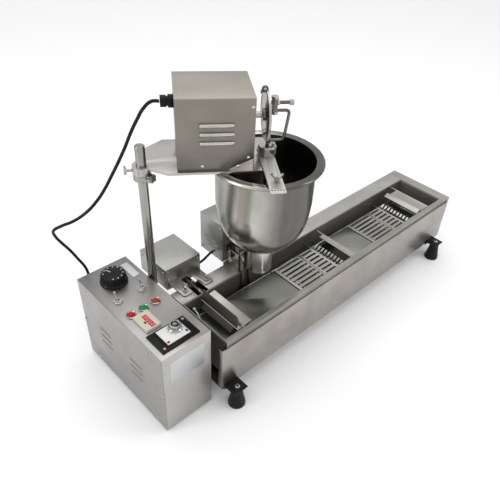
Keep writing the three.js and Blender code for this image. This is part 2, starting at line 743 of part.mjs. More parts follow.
function cordGland() {
  const u = MOTOR.u0 - GAP;
  const { v, z, radius, length } = GLAND;
  const body = join(
    bar(radius, [u - 10, v, z], [u, v, z], 20),
    bar(radius - 3, [u - 14, v, z], [u - 9, v, z], 20),
    bar(radius - 1, [u - length, v, z], [u - 13, v, z], 20),
  );
  return cut(body, bar(CORD_R - 1, [u - length + 2, v, z], [u + 1, v, z], 8));
}

function crankDisc() {
  const { z, radius, u0, u1, shaftR } = CRANK;
  const { v } = AXIS;
  const disc = bar(radius, [u0, v, z], [u1, v, z], 40);
  const shaft = bar(shaftR, [205 + GAP, v, z], [u0 + 1, v, z]);
  const hub = bar(12, [u0 - 5, v, z], [u0 + 1, v, z], 20);
  const eyeZ = z + radius + 1;
  const eyeU = u0 - 2; // clear of the plunger's head when the disc has turned half way
  const eye = cut(
    bar(6, [eyeU, v - 2, eyeZ], [eyeU, v + 2, eyeZ], 16),
    bar(3, [eyeU, v - 3, eyeZ], [eyeU, v + 3, eyeZ], 12),
  );
  const screw = join(
    bar(1.8, [u0 - 9, v, z + radius - 4], [u0 + 1, v, z + radius - 4], 8),
    bar(3.2, [u0 - 10, v, z + radius - 4], [u0 - 8, v, z + radius - 4], 10),
  );
  return join(disc, shaft, hub, eye, screw);
}

function connectingRod() {
  const { u, z, pivotZ, wire } = ROD;
  const { v } = AXIS;
  const body = block(u, u + 10, v - 6, v + 6, 438, 466);
  const nuts = [467, 437].map((centre) => bar(7.5, [u + 5, v, centre - 2.5], [u + 5, v, centre + 2.5], 6));
  const crankPin = bar(4, [CRANK.u1 + GAP, v, z], [u + 1, v, z], 12);
  const screw = join(bar(3.4, [u + 9, v, z], [u + 36, v, z], 12), bar(5, [u + 34, v, z], [u + 42, v, z], 12));
  const route = [
    [u + 8, v, 441],
    [u + 36, v, 441],
    [u + 28, v, pivotZ],
    [AXIS.u - 2, v, pivotZ],
  ];
  return join(body, ...nuts, crankPin, screw, bentTube(route, 9, wire, 8));
}

function plunger() {
  const { u, v } = AXIS;
  const profile = [
    [0, 52.5],
    [14, 52.5],
    [14, 55],
    [3.5, 64],
    [3.5, 84],
    [18.2, 84],
    [18.2, 100],
    [3.5, 102],
    [3.5, 372.5],
    [6.5, 372.5],
    [6.5, 383.5],
    [0, 383.5],
  ];
  const pinHole = bar(ROD.wire + GAP, [u - 3, v, ROD.pivotZ], [u + 9, v, ROD.pivotZ], 16);
  const discSide = block(u - 8, CRANK.u1 + 0.6, v - 8, v + 8, 371, 385);
  return cut(turned(profile, u, v), pinHole, discSide);
}

function bushing() {
  const { u, v } = AXIS;
  const z0 = ARM_TOP + STRAP.thickness + GAP;
  const z1 = z0 + BUSHING.height;
  const profile = [
    [3.8, z0],
    [BUSHING.radius, z0],
    [BUSHING.radius, z1 - 1],
    [BUSHING.radius - 1, z1],
    [3.8, z1],
    [3.8, z0],
  ];
  const nut = bar(3.6, [u + 12.5, v, z1 - 1], [u + 12.5, v, z1 + 4], 6);
  return join(turned(profile, u, v), nut);
}

const WING_NUT = { u: 251, v: -84, studR: 2.5 };

function strap() {
  const { u0, u1, v0, v1, thickness } = STRAP;
  const top = ARM_TOP + thickness;
  const screws = [u0 + 7, u1 - 7].map((u) =>
    join(
      bar(2, [u, v0 + 8, HOPPER.rimZ + GAP], [u, v0 + 8, top], 8),
      bar(3.5, [u, v0 + 8, top - 1], [u, v0 + 8, top + 2], 10),
    ),
  );
  const rodHole = bar(5, [AXIS.u, AXIS.v, ARM_TOP - 1], [AXIS.u, AXIS.v, top + 1]);
  const studHole = bar(
    WING_NUT.studR + GAP,
    [WING_NUT.u, WING_NUT.v, ARM_TOP - 1],
    [WING_NUT.u, WING_NUT.v, top + 1],
    12,
  );
  return cut(join(block(u0, u1, v0, v1, ARM_TOP, top), ...screws), rodHole, studHole);
}

function wingNut() {
  const { u, v, studR } = WING_NUT;
  const z = ARM_TOP + STRAP.thickness + GAP;
  const stud = bar(studR, [u, v, ARM.bottom], [u, v, z + 9], 12);
  const nut = bar(5, [u, v, z], [u, v, z + 6], 12);
  const wings = [-1, 1].map((side) => bar(1.6, [u + side * 2, v, z + 3], [u + side * 11, v, z + 16], 8, 2.6));
  return join(stud, nut, ...wings);
}

// The inner side of a thin wall behind an outer profile, from its top down.
function innerSide(outer, wall) {
  const inner = outer.map(([r, z], i) => {
    const before = outer[Math.max(i - 1, 0)];
    const after = outer[Math.min(i + 1, outer.length - 1)];
    const along = new THREE.Vector2(after[0] - before[0], after[1] - before[1]).normalize();
    return [r - along.y * wall, z + along.x * wall];
  });
  return inner.reverse();
}

function hopper() {
  const { rimZ, rimR, mouthR, wall, outletR } = HOPPER;
  const bowl = [
    [outletR + 2, NECK.top + GAP],
    [33, NECK.top + GAP],
    [46, 126],
    [59, 133],
    [71, 143],
    [82, 156],
    [91, 172],
    [97.5, 190],
    [102, 211],
    [105, 245],
    [105.6, rimZ - 8],
  ];
  const rim = [
    [rimR - 3, rimZ - 8],
    [rimR, rimZ - 5],
    [rimR, rimZ - 3],
    [rimR - 3, rimZ],
    [mouthR + 3, rimZ],
    [mouthR, rimZ - 2],
  ];
  return turned([...bowl, ...rim, ...innerSide(bowl, wall), bowl[0]], AXIS.u, AXIS.v, 40);
}

function hopperNeck() {
  const { top, bottom, topR, endR, bore } = NECK;
  const profile = [
    [bore, bottom],
    [endR - 1.5, bottom],
    [endR, bottom + 1.5],
    [topR, top - 1],
    [topR - 1, top],
    [bore, top],
    [bore, bottom],
  ];
  const angle = THREE.MathUtils.degToRad(-120 - ARM_ANGLE);
  const at = (r) => [AXIS.u + r * Math.cos(angle), AXIS.v + r * Math.sin(angle), NECK.bottom + 10];
  const lockBolt = join(bar(2.5, at(topR - 2), at(topR + 7), 10), bar(4.2, at(topR + 3), at(topR + 7), 6));
  return join(turned(profile, AXIS.u, AXIS.v, 24), lockBolt);
}

// ---- The machine ----
add(machine, "trough_casing", troughCasing(), steel());
add(machine, "oil_pan", oilPan(), darkSteel());
add(machine, "deck_plate_left", deckPlate(DECK.leftX0, DECK.leftX1), steel());
add(machine, "deck_cover", deckPlate(DECK.rightX0, PAN.x1), steel());
add(machine, "tray_rack", trayRack(), polished());
add(machine, "drop_tray", dropTray(112, 280), steel());
add(machine, "grid_tray_1", gridTray(283.8, FLIP.xs[0] - FLIP.leaf - GAP), steel());
add(machine, "middle_tray", trayPlate(494, 576), steel());
add(machine, "grid_tray_2", gridTray(580, FLIP.xs[1] - FLIP.leaf - GAP), steel());
FLIP.xs.forEach((x, i) => add(machine, `flipper_${i + 1}`, flipper(x), polished()));
add(machine, "pusher_1", pusherWheel(), polished());
add(machine, "pusher_2", pusherPaddle(), polished());
add(machine, "discharge_scoop", dischargeScoop(), polished());

add(machine, "drive_cover", driveCover(), steel());
add(machine, "drive_base", driveBase(), steel());
add(machine, "drive_bearing", driveBearing(), black());
add(machine, "drive_motor", driveMotor(), darkSteel());
add(machine, "heater_box", heaterBox(), steel());
add(machine, "heating_element", heatingElement(), darkSteel());
add(machine, "heater_lead", heaterLead(), rubber());
add(machine, "sensor_capillary", sensorCapillary(), polished());

const footPlaces = [-1, 1].flatMap((side) => FOOT.xs.map((x) => ({ x, side })));
footPlaces.forEach(({ x, side }, i) => {
  add(machine, `foot_bracket_${i + 1}`, footBracket(x, side), black());
  add(machine, `foot_${i + 1}`, foot(x, side), rubber());
});

add(machine, "control_box", controlBox(), steel());
add(machine, "control_side_panel", controlSidePanel(), steel());
add(machine, "thermostat_knob", thermostatKnob(), black());
SWITCH.places.forEach((place, i) => {
  add(machine, `switch_bezel_${i + 1}`, switchBezel(place), chrome());
  add(machine, `switch_lever_${i + 1}`, switchLever(place), chrome());
});
const lamps = [
  { x: -114, y: 158, look: material("#c3202a", 0.3, 0) },
  { x: -82.5, y: 159, look: material("#1f9a4a", 0.3, 0) },
  { x: -51.5, y: 160, look: material("#b5532c", 0.3, 0) },
];
lamps.forEach(({ x, y, look }, i) => add(machine, `lamp_${i + 1}`, lamp(x, y), look));
add(machine, "meter_case", meterCase(), beige());
add(machine, "timer_frame", timerFrame(), black());
add(machine, "timer_dial", timerDial(), chrome());

add(machine, "post", post(), polished());
add(machine, "post_bracket", postBracket(), steel());
const collar = add(machine, "height_collar", heightCollar(), polished());
collar.position.set(POST.x, POST.y, 0);
collar.rotation.z = THREE.MathUtils.degToRad(-70);

add(head, "arm_plate", armPlate(), steel());
add(head, "thumbscrew", thumbscrew(), polished());
add(head, "motor_cover", motorCover(), steel());
add(head, "depositor_motor", depositorMotor(), darkSteel());
add(head, "cord_gland", cordGland(), black());
add(head, "crank_disc", crankDisc(), polished());
add(head, "connecting_rod", connectingRod(), polished());
add(head, "plunger", plunger(), polished());
add(head, "bushing", bushing(), polished());
add(head, "strap", strap(), steel());
add(head, "wing_nut", wingNut(), polished());
add(head, "hopper", hopper(), polished());
add(head, "hopper_neck", hopperNeck(), polished());
add(machine, "head_cord", tube(smooth(CORD_ROUTE), CORD_R, 48, 8), rubber());

machine.position.set(-ORIGIN[0], -ORIGIN[1], -ORIGIN[2]);
const donutMaker = new THREE.Group();
donutMaker.add(machine);

export default donutMaker;
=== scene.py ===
"""Automatic donut maker: an oil trough with trays, pushers and flippers, a control box at its left end, and a
depositor head with a hopper that swivels on a post."""
import json
import math

import bmesh
import bpy
from mathutils import Matrix, Vector

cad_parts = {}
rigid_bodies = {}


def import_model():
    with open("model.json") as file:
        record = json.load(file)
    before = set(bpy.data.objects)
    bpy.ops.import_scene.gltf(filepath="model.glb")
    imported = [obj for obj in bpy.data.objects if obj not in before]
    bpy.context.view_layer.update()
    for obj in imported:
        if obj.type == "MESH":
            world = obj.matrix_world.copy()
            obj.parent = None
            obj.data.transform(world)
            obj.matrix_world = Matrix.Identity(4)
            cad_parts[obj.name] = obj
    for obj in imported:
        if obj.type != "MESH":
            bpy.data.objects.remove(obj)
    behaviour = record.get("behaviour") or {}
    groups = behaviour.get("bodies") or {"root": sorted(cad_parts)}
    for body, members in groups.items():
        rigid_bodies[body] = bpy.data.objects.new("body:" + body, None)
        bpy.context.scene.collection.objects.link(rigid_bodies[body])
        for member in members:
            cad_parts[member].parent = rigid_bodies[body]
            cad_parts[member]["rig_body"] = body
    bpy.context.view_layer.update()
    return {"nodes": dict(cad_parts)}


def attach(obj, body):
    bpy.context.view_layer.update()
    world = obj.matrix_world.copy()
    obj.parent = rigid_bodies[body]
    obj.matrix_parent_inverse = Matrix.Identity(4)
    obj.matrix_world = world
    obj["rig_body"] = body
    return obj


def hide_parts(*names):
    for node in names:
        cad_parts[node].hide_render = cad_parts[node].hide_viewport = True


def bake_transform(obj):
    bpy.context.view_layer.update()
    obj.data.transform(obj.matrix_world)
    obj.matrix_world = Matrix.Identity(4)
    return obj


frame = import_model()
MM = 0.001
scene = bpy.context.scene
scene.view_settings.view_transform = "Standard"


# ---- Camera ----
# A normal lens looks down on the machine from the operator's left. The camera is rolled a little, and its
# lens is shifted a little off centre.
CAMERA_PLACE = Vector((-0.8767, -0.7153, 1.0609))
CAMERA_YAW = math.radians(46.39)
CAMERA_PITCH = math.radians(40.32)
CAMERA_ROLL = math.radians(3.96)
camera_data = bpy.data.cameras.new("camera")
camera_data.lens = 39.08
camera_data.sensor_width = 36
camera_data.shift_x = -0.021
camera_data.shift_y = 0.029
camera_data.clip_end = 60
camera = bpy.data.objects.new("camera", camera_data)
scene.collection.objects.link(camera)
camera.matrix_world = (
    Matrix.Translation(CAMERA_PLACE)
    @ Matrix.Rotation(-CAMERA_YAW, 4, "Z")
    @ Matrix.Rotation(math.pi / 2 - CAMERA_PITCH, 4, "X")
    @ Matrix.Rotation(CAMERA_ROLL, 4, "Z")
)
scene.camera = camera


# ---- Studio ----
# A pale seamless paper floor, an even pale surround and three large soft boxes: one overhead, one at the
# operator's left and one at the front right.
FLOOR_RADIUS = 9
floor_shape = bmesh.new()
bmesh.ops.create_circle(floor_shape, cap_ends=True, segments=64, radius=FLOOR_RADIUS)
floor_mesh = bpy.data.meshes.new("floor")
floor_shape.to_mesh(floor_mesh)
floor_shape.free()
floor = bpy.data.objects.new("floor", floor_mesh)
scene.collection.objects.link(floor)
floor_look = bpy.data.materials.new("floor_paper")
floor_look.use_nodes = True
floor_shader = floor_look.node_tree.nodes["Principled BSDF"]
floor_shader.inputs["Base Color"].default_value = (0.93, 0.93, 0.93, 1)
floor_shader.inputs["Roughness"].default_value = 0.9
floor_shader.inputs["Specular IOR Level"].default_value = 0.1
floor_mesh.materials.append(floor_look)

world = bpy.data.worlds.new("studio")
scene.world = world
world.use_nodes = True
world_nodes = world.node_tree.nodes
world_links = world.node_tree.links
sky_place = world_nodes.new("ShaderNodeTexCoord")
sky_height = world_nodes.new("ShaderNodeSeparateXYZ")
sky_ramp = world_nodes.new("ShaderNodeValToRGB")
sky_ramp.color_ramp.elements[0].position = 0.0
sky_ramp.color_ramp.elements[0].color = (0.87, 0.87, 0.87, 1)
sky_ramp.color_ramp.elements[1].position = 0.7
sky_ramp.color_ramp.elements[1].color = (0.92, 0.92, 0.92, 1)
sky = world_nodes["Background"]
world_links.new(sky_place.outputs["Generated"], sky_height.inputs["Vector"])
world_links.new(sky_height.outputs["Z"], sky_ramp.inputs["Fac"])
world_links.new(sky_ramp.outputs["Color"], sky.inputs["Color"])
sky.inputs["Strength"].default_value = 1


def soft_box(name, place, target, width, height, power):
    """A rectangular soft light that faces its target."""
    data = bpy.data.lights.new(name, "AREA")
    data.shape = "RECTANGLE"
    data.size = width
    data.size_y = height
    data.energy = power
    lamp = bpy.data.objects.new(name, data)
    lamp.location = place
    lamp.rotation_euler = (Vector(target) - Vector(place)).to_track_quat("-Z", "Y").to_euler()
    scene.collection.objects.link(lamp)


soft_box("overhead_box", (0.2, 0.3, 2.6), (0, 0, 0.2), 2.4, 2.4, 16)
soft_box("left_box", (-2.2, 0.6, 1.5), (0, 0, 0.3), 0.6, 1.8, 12)
soft_box("right_box", (1.6, -1.8, 1.6), (0, 0, 0.3), 0.5, 1.6, 10)


# ---- Head cord ----
# A black round flex from the motor housing down to the back of the control box. It is two lengths that meet
# at the level of the post's collar.
CORD_DIAMETER = 6.6 * MM
CORD_TOP = [
    (-0.3432, 0.0732, 0.6415),
    (-0.3546, 0.0811, 0.6411),
    (-0.3675, 0.0894, 0.6285),
    (-0.3795, 0.0949, 0.6085),
    (-0.3895, 0.1029, 0.5845),
    (-0.4005, 0.1129, 0.5515),
    (-0.4145, 0.1229, 0.5175),
]
CORD_BOTTOM = [
    (-0.4145, 0.1229, 0.5175),
    (-0.4285, 0.1319, 0.4875),
    (-0.4435, 0.1409, 0.4575),
    (-0.4595, 0.1499, 0.4325),
    (-0.4795, 0.1609, 0.4095),
    (-0.5035, 0.1759, 0.3905),
    (-0.5255, 0.1909, 0.3795),
    (-0.5365, 0.2049, 0.3655),
    (-0.5325, 0.2139, 0.3445),
    (-0.5225, 0.2189, 0.3215),
    (-0.5065, 0.2209, 0.2905),
    (-0.4905, 0.2209, 0.2535),
    (-0.4785, 0.2209, 0.2235),
    (-0.4750, 0.2169, 0.1985),
    (-0.4745, 0.2069, 0.1845),
    (-0.4745, 0.1979, 0.1795),
    (-0.4745, 0.1929, 0.1795),
]


def plain(name, slot, tone, roughness):
    """Moulded plastic, rubber or paint of one colour."""
    look = bpy.data.materials.new(name)
    look.use_nodes = True
    shader = look.node_tree.nodes["Principled BSDF"]
    shader.inputs["Base Color"].default_value = (*tone, 1)
    shader.inputs["Roughness"].default_value = roughness
    shader.inputs["Specular IOR Level"].default_value = 0.2
    look["slot"] = slot
    return look


def curve_line(name, points, radius):
    """A smooth round line through the points, as a curve object."""
    curve = bpy.data.curves.new(name, "CURVE")
    curve.dimensions = "3D"
    curve.bevel_depth = radius
    curve.bevel_resolution = 5
    curve.use_fill_caps = True
    line = curve.splines.new("BEZIER")
    line.resolution_u = 6
    line.bezier_points.add(len(points) - 1)
    for knot, point in zip(line.bezier_points, points):
        knot.co = point
        knot.handle_left_type = "AUTO"
        knot.handle_right_type = "AUTO"
    obj = bpy.data.objects.new(name, curve)
    scene.collection.objects.link(obj)
    return obj


def cord_length(name, points, look):
    """One length of the cord, and the points of its centreline."""
    centre = curve_line(name + "_line", points, 0)
    path = [vertex.co.copy() for vertex in bpy.data.meshes.new_from_object(centre).vertices]
    bpy.data.objects.remove(centre)
    round_line = curve_line(name + "_curve", points, CORD_DIAMETER / 2)
    mesh = bpy.data.meshes.new_from_object(round_line)
    bpy.data.objects.remove(round_line)
    mesh.materials.clear()
    mesh.materials.append(look)
    mesh.shade_smooth()
    obj = bpy.data.objects.new(name, mesh)
    scene.collection.objects.link(obj)
    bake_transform(obj)
    return obj, path


CORD_BLACK = plain("cord_black", "cord_rubber", (0.006, 0.006, 0.006), 0.42)
top_cord, top_path = cord_length("cord_upper", CORD_TOP, CORD_BLACK)
bottom_cord, bottom_path = cord_length("cord_lower", CORD_BOTTOM, CORD_BLACK)


# ---- Sheet-metal trough and oil pan ----
# A long open box of folded stainless sheet carries everything. A deep pan hangs in it on its rim, with
# painted shade inside it below the rim, and flat deck plates close the strip behind it.
def in_object_space(nodes, links, scale):
    """The object's own coordinates in metres, stretched by scale."""
    place = nodes.new("ShaderNodeTexCoord")
    mapping = nodes.new("ShaderNodeMapping")
    mapping.inputs["Scale"].default_value = scale
    links.new(place.outputs["Object"], mapping.inputs["Vector"])
    return mapping.outputs["Vector"]


def effect_group(name, inputs, outputs):
    """An empty node group for one effect, with its sockets given by name and kind, and its two end nodes."""
    group = bpy.data.node_groups.new(name, "ShaderNodeTree")
    for in_out, sockets in (("INPUT", inputs), ("OUTPUT", outputs)):
        for socket, kind in sockets.items():
            group.interface.new_socket(socket, in_out=in_out, socket_type="NodeSocket" + kind)
    return group, group.nodes.new("NodeGroupInput"), group.nodes.new("NodeGroupOutput")


def grain_group():
    """Fine parallel scratches: a bump normal, and a value that lightens and darkens the steel along them."""
    group, entry, exit_node = effect_group(
        "brushed_grain",
        {"Place": "Vector", "Depth": "Float"},
        {"Value": "Float", "Normal": "Vector"},
    )
    nodes, links = group.nodes, group.links
    noise = nodes.new("ShaderNodeTexNoise")
    noise.inputs["Scale"].default_value = 1
    noise.inputs["Detail"].default_value = 3
    bump = nodes.new("ShaderNodeBump")
    bump.inputs["Distance"].default_value = 0.0002
    links.new(entry.outputs["Place"], noise.inputs["Vector"])
    links.new(noise.outputs["Fac"], bump.inputs["Height"])
    links.new(entry.outputs["Depth"], bump.inputs["Strength"])
    links.new(noise.outputs["Fac"], exit_node.inputs["Value"])
    links.new(bump.outputs["Normal"], exit_node.inputs["Normal"])
    return group


def marks_group():
    """Handling marks: a soft mottle that shifts colour and roughness together, with the grain's streaks."""
    group, entry, exit_node = effect_group(
        "handling_marks",
        {
            "Place": "Vector",
            "Clean Color": "Color",
            "Marked Color": "Color",
            "Clean Roughness": "Float",
            "Marked Roughness": "Float",
            "Grain": "Float",
            "Grain Contrast": "Float",
        },
        {"Color": "Color", "Roughness": "Float"},
    )
    nodes, links = group.nodes, group.links
    noise = nodes.new("ShaderNodeTexNoise")
    noise.inputs["Scale"].default_value = 14
    noise.inputs["Detail"].default_value = 5
    spread = nodes.new("ShaderNodeMapRange")
    spread.inputs["From Min"].default_value = 0.38
    spread.inputs["From Max"].default_value = 0.68
    color = nodes.new("ShaderNodeMix")
    color.data_type = "RGBA"
    roughness = nodes.new("ShaderNodeMix")
    shade = nodes.new("ShaderNodeMath")
    shade.operation = "SUBTRACT"
    shade.inputs[1].default_value = 0.5
    weight = nodes.new("ShaderNodeMath")
    weight.operation = "MULTIPLY_ADD"
    weight.inputs[2].default_value = 1
    streaked = nodes.new("ShaderNodeVectorMath")
    streaked.operation = "SCALE"
    links.new(entry.outputs["Place"], noise.inputs["Vector"])
    links.new(noise.outputs["Fac"], spread.inputs["Value"])
    links.new(spread.outputs["Result"], color.inputs["Factor"])
    links.new(entry.outputs["Clean Color"], color.inputs["A"])
    links.new(entry.outputs["Marked Color"], color.inputs["B"])
    links.new(spread.outputs["Result"], roughness.inputs["Factor"])
    links.new(entry.outputs["Clean Roughness"], roughness.inputs["A"])
    links.new(entry.outputs["Marked Roughness"], roughness.inputs["B"])
    links.new(entry.outputs["Grain"], shade.inputs[0])
    links.new(shade.outputs["Value"], weight.inputs[0])
    links.new(entry.outputs["Grain Contrast"], weight.inputs[1])
    links.new(color.outputs["Result"], streaked.inputs[0])
    links.new(weight.outputs["Value"], streaked.inputs["Scale"])
    links.new(streaked.outputs["Vector"], exit_node.inputs["Color"])
    links.new(roughness.outputs["Result"], exit_node.inputs["Roughness"])
    return group


GRAIN = grain_group()
MARKS = marks_group()
MARKED_ROUGHER = 0.08


def steel(name, slot, tone, roughness, brush, depth=0.15, metallic=1.0, marked=0.85, contrast=0.25):
    """Brushed or rolled steel. Brush is how tightly the grain runs along X, Y and Z, depth and contrast are
    how strong it is, and marked is the tone of the handling marks as a share of the clean tone."""
    look = bpy.data.materials.new(name)
    look.use_nodes = True
    nodes, links = look.node_tree.nodes, look.node_tree.links
    shader = nodes["Principled BSDF"]
    shader.inputs["Metallic"].default_value = metallic
    grain = nodes.new("ShaderNodeGroup")
    grain.node_tree = GRAIN
    grain.inputs["Depth"].default_value = depth
    links.new(in_object_space(nodes, links, brush), grain.inputs["Place"])
    marks = nodes.new("ShaderNodeGroup")
    marks.node_tree = MARKS
    marks.inputs["Clean Color"].default_value = (*tone, 1)
    marks.inputs["Marked Color"].default_value = (*(part * marked for part in tone), 1)
    marks.inputs["Clean Roughness"].default_value = roughness
    marks.inputs["Marked Roughness"].default_value = roughness + MARKED_ROUGHER
    marks.inputs["Grain Contrast"].default_value = contrast
    links.new(in_object_space(nodes, links, (1, 1, 1)), marks.inputs["Place"])
    links.new(grain.outputs["Value"], marks.inputs["Grain"])
    links.new(marks.outputs["Color"], shader.inputs["Base Color"])
    links.new(marks.outputs["Roughness"], shader.inputs["Roughness"])
    links.new(grain.outputs["Normal"], shader.inputs["Normal"])
    look["slot"] = slot
    return look


# From here on, pieces are placed in millimetres from the casing's front top left corner: X runs along the
# trough, Y to the back and Z up.
MACHINE = Matrix.Translation((-0.3795, -0.1491, 0.1715)) @ Matrix.Scale(MM, 4)
ONE_PLANE = math.radians(1)
SMOOTH_LEAST, SMOOTH_MOST = math.radians(0.5), math.radians(28)
ROUNDED_FROM = math.radians(30)
SHARP_ANGLE = math.radians(35)
MERGE_METRES = 1e-5


def box(x0, x1, y0, y1, z0, z1):
    """A block between two opposite corners."""
    shape = bmesh.new()
    middle = Matrix.Translation(((x0 + x1) / 2, (y0 + y1) / 2, (z0 + z1) / 2))
    bmesh.ops.create_cube(shape, size=1, matrix=middle @ Matrix.Diagonal((x1 - x0, y1 - y0, z1 - z0, 1)))
    return shape


def shaded(shape):
    """Smooth shading on the faces that belong to a round surface, flat shading on the others."""
    for face in shape.faces:
        turns = [edge.calc_face_angle(0) for edge in face.edges]
        face.smooth = any(SMOOTH_LEAST < turn < SMOOTH_MOST for turn in turns)
    return shape


def together(*shapes):
    """Several shapes as one."""
    whole = bmesh.new()
    for shape in shapes:
        part = bpy.data.meshes.new("part")
        shape.to_mesh(part)
        shape.free()
        whole.from_mesh(part)
        bpy.data.meshes.remove(part)
    return whole


def softened(shape, width, segments=2):
    """Rounds the shape's sharp edges."""
    sharp = [edge for edge in shape.edges if edge.is_manifold and edge.calc_face_angle() > ROUNDED_FROM]
    rounding = bmesh.ops.bevel(
        shape, geom=sharp, offset=width, segments=segments, profile=0.5, affect="EDGES",
        clamp_overlap=True, material=-1,
    )
    for face in rounding["faces"]:
        face.smooth = True
    return shape


def placed(name, shape, look, body, frame_matrix=MACHINE):
    """Makes the shape an object with its faces outward that rides on a CAD body."""
    bmesh.ops.transform(shape, matrix=frame_matrix, verts=shape.verts)
    bmesh.ops.recalc_face_normals(shape, faces=shape.faces)
    mesh = bpy.data.meshes.new(name)
    shape.to_mesh(mesh)
    shape.free()
    mesh.set_sharp_from_angle(angle=SHARP_ANGLE)
    mesh.materials.append(look)
    obj = bpy.data.objects.new(name, mesh)
    scene.collection.objects.link(obj)
    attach(obj, body)
    return obj


def refined(node, look, edge=0.5):
    """Replaces a CAD piece by a smooth copy with its edges rounded by edge millimetres, and by none at 0."""
    cad = frame["nodes"][node]
    shape = bmesh.new()
    shape.from_mesh(cad.data)
    bmesh.ops.remove_doubles(shape, verts=shape.verts, dist=MERGE_METRES)
    bmesh.ops.dissolve_limit(shape, angle_limit=ONE_PLANE, verts=shape.verts, edges=shape.edges)
    shaded(shape)
    if edge:
        softened(shape, edge * MM)
    obj = placed(node + "_look", shape, look, cad["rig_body"], Matrix.Identity(4))
    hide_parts(node)
    return obj


def painted_shade_below(look, height, front, tone):
    """Paints shade into a look: another tone below a height and behind a front plane, as painted shade inside
    a pan.
    """
    nodes, links = look.node_tree.nodes, look.node_tree.links
    shader = nodes["Principled BSDF"]
    clean = shader.inputs["Base Color"].links[0].from_socket
    level = nodes.new("ShaderNodeSeparateXYZ")
    links.new(in_object_space(nodes, links, (1, 1, 1)), level.inputs["Vector"])
    mask = nodes.new("ShaderNodeMapRange")
    mask.inputs["From Min"].default_value = height - SHADE_FADE
    mask.inputs["From Max"].default_value = height
    links.new(level.outputs["Z"], mask.inputs["Value"])
    outside = nodes.new("ShaderNodeMath")
    outside.operation = "LESS_THAN"
    outside.inputs[1].default_value = front
    links.new(level.outputs["Y"], outside.inputs[0])
    kept = nodes.new("ShaderNodeMath")
    kept.operation = "MAXIMUM"
    links.new(mask.outputs["Result"], kept.inputs[0])
    links.new(outside.outputs["Value"], kept.inputs[1])
    mix = nodes.new("ShaderNodeMix")
    mix.data_type = "RGBA"
    mix.inputs["A"].default_value = (*tone, 1)
    links.new(kept.outputs["Value"], mix.inputs["Factor"])
    links.new(clean, mix.inputs["B"])
    links.new(mix.outputs["Result"], shader.inputs["Base Color"])


# The top of the pan's painted shade and the pan's front are in metres from the middle of the machine's
# bottom, as materials see them.
SHADE_FADE = 4 * MM
SHADE_TOP = 0.1845
PAN_FRONT = -0.135
TROUGH_STEEL = steel("trough_steel", "satin_steel", (0.4, 0.375, 0.355), 0.34, (6, 6, 700), contrast=0.12)
PAN_STEEL = steel(
    "pan_steel", "pan_steel", (0.27, 0.265, 0.24), 0.32, (6, 500, 500),
    depth=0.05, metallic=0.5, contrast=0.08,
)
# Painted shade: the pan's steel turns darker below the rim and behind its front, where shade falls inside it.
painted_shade_below(PAN_STEEL, SHADE_TOP, PAN_FRONT, (0.13, 0.122, 0.108))
DECK_STEEL = steel("deck_steel", "satin_steel", (0.46, 0.45, 0.43), 0.3, (6, 600, 6), contrast=0.1)
refined("trough_casing", TROUGH_STEEL)
refined("oil_pan", PAN_STEEL)
refined("deck_cover", DECK_STEEL, 0.4)
refined("deck_plate_left", DECK_STEEL, 0.4)

# Two folds close the casing's right front corner between its lip and the end cover.
FOLD_BOTTOM, FOLD_TOP, FOLD_END = -1.9, 14, 899.6
end_folds = [
    box(871, FOLD_END, 3.8, 5, FOLD_BOTTOM, FOLD_TOP),
    box(889, FOLD_END, 0.1, 3.9, FOLD_BOTTOM, FOLD_TOP),
]
placed("end_corner_folds", together(*end_folds), TROUGH_STEEL, "frame")


# ---- Trays, flippers, pushers and scoop ----
# Flat and slotted trays lie in the pan on a rack. A three-bladed wheel and a paddle push the rings along,
# finger flippers turn them over, and a lipped scoop lifts them out at the end.
ROD_STEEL = steel("rod_steel", "rod_steel", (0.45, 0.44, 0.42), 0.24, (200, 200, 200), contrast=0.1)
GRID_STEEL = steel("grid_steel", "tray_steel", (0.33, 0.33, 0.3), 0.3, (6, 500, 6), contrast=0.08)
TRAY_STEEL = steel(
    "drop_tray_steel", "tray_steel", (0.22, 0.222, 0.2), 0.3, (6, 500, 6),
    depth=0.04, marked=0.95, contrast=0.06,
)
PLATE_STEEL = steel(
    "middle_tray_steel", "tray_steel", (0.25, 0.25, 0.228), 0.28, (6, 500, 6), depth=0.04, contrast=0.06,
)
# Painted light and shade: the light blade steel and the dark web steel are lit and shaded copies of one
# steel.
LIT_BLADE_STEEL = steel(
    "painted_light_blade_steel", "satin_steel", (0.62, 0.61, 0.57), 0.3, (6, 500, 6), depth=0.05, contrast=0.06,
)
SHADED_WEB_STEEL = steel("painted_shade_web_steel", "rod_steel", (0.3, 0.29, 0.26), 0.3, (6, 500, 6), depth=0.05, contrast=0.1)
FINGER_STEEL = steel("finger_steel", "rod_steel", (0.42, 0.42, 0.39), 0.2, (6, 500, 6), contrast=0.08)
SCOOP_STEEL = steel(
    "scoop_steel", "satin_steel", (0.38, 0.375, 0.35), 0.3, (6, 500, 6), depth=0.05, contrast=0.06,
)
refined("tray_rack", ROD_STEEL, 0)
refined("drop_tray", TRAY_STEEL, 0.4)
refined("middle_tray", PLATE_STEEL, 0.4)
refined("grid_tray_1", GRID_STEEL, 0.4)
refined("grid_tray_2", GRID_STEEL, 0.4)
refined("flipper_1", FINGER_STEEL, 0.3)
refined("flipper_2", FINGER_STEEL, 0.3)
refined("pusher_1", SHADED_WEB_STEEL, 0.3)
refined("pusher_2", SCOOP_STEEL, 0.3)
refined("discharge_scoop", SCOOP_STEEL, 0.3)

UP = (0, 0, 1)
MERGE_MILLIMETRES = 1e-4


def pointing(place, axis):
    """A frame at a place whose Z runs along the axis."""
    return Matrix.Translation(place) @ Vector(axis).to_track_quat("Z", "Y").to_matrix().to_4x4()


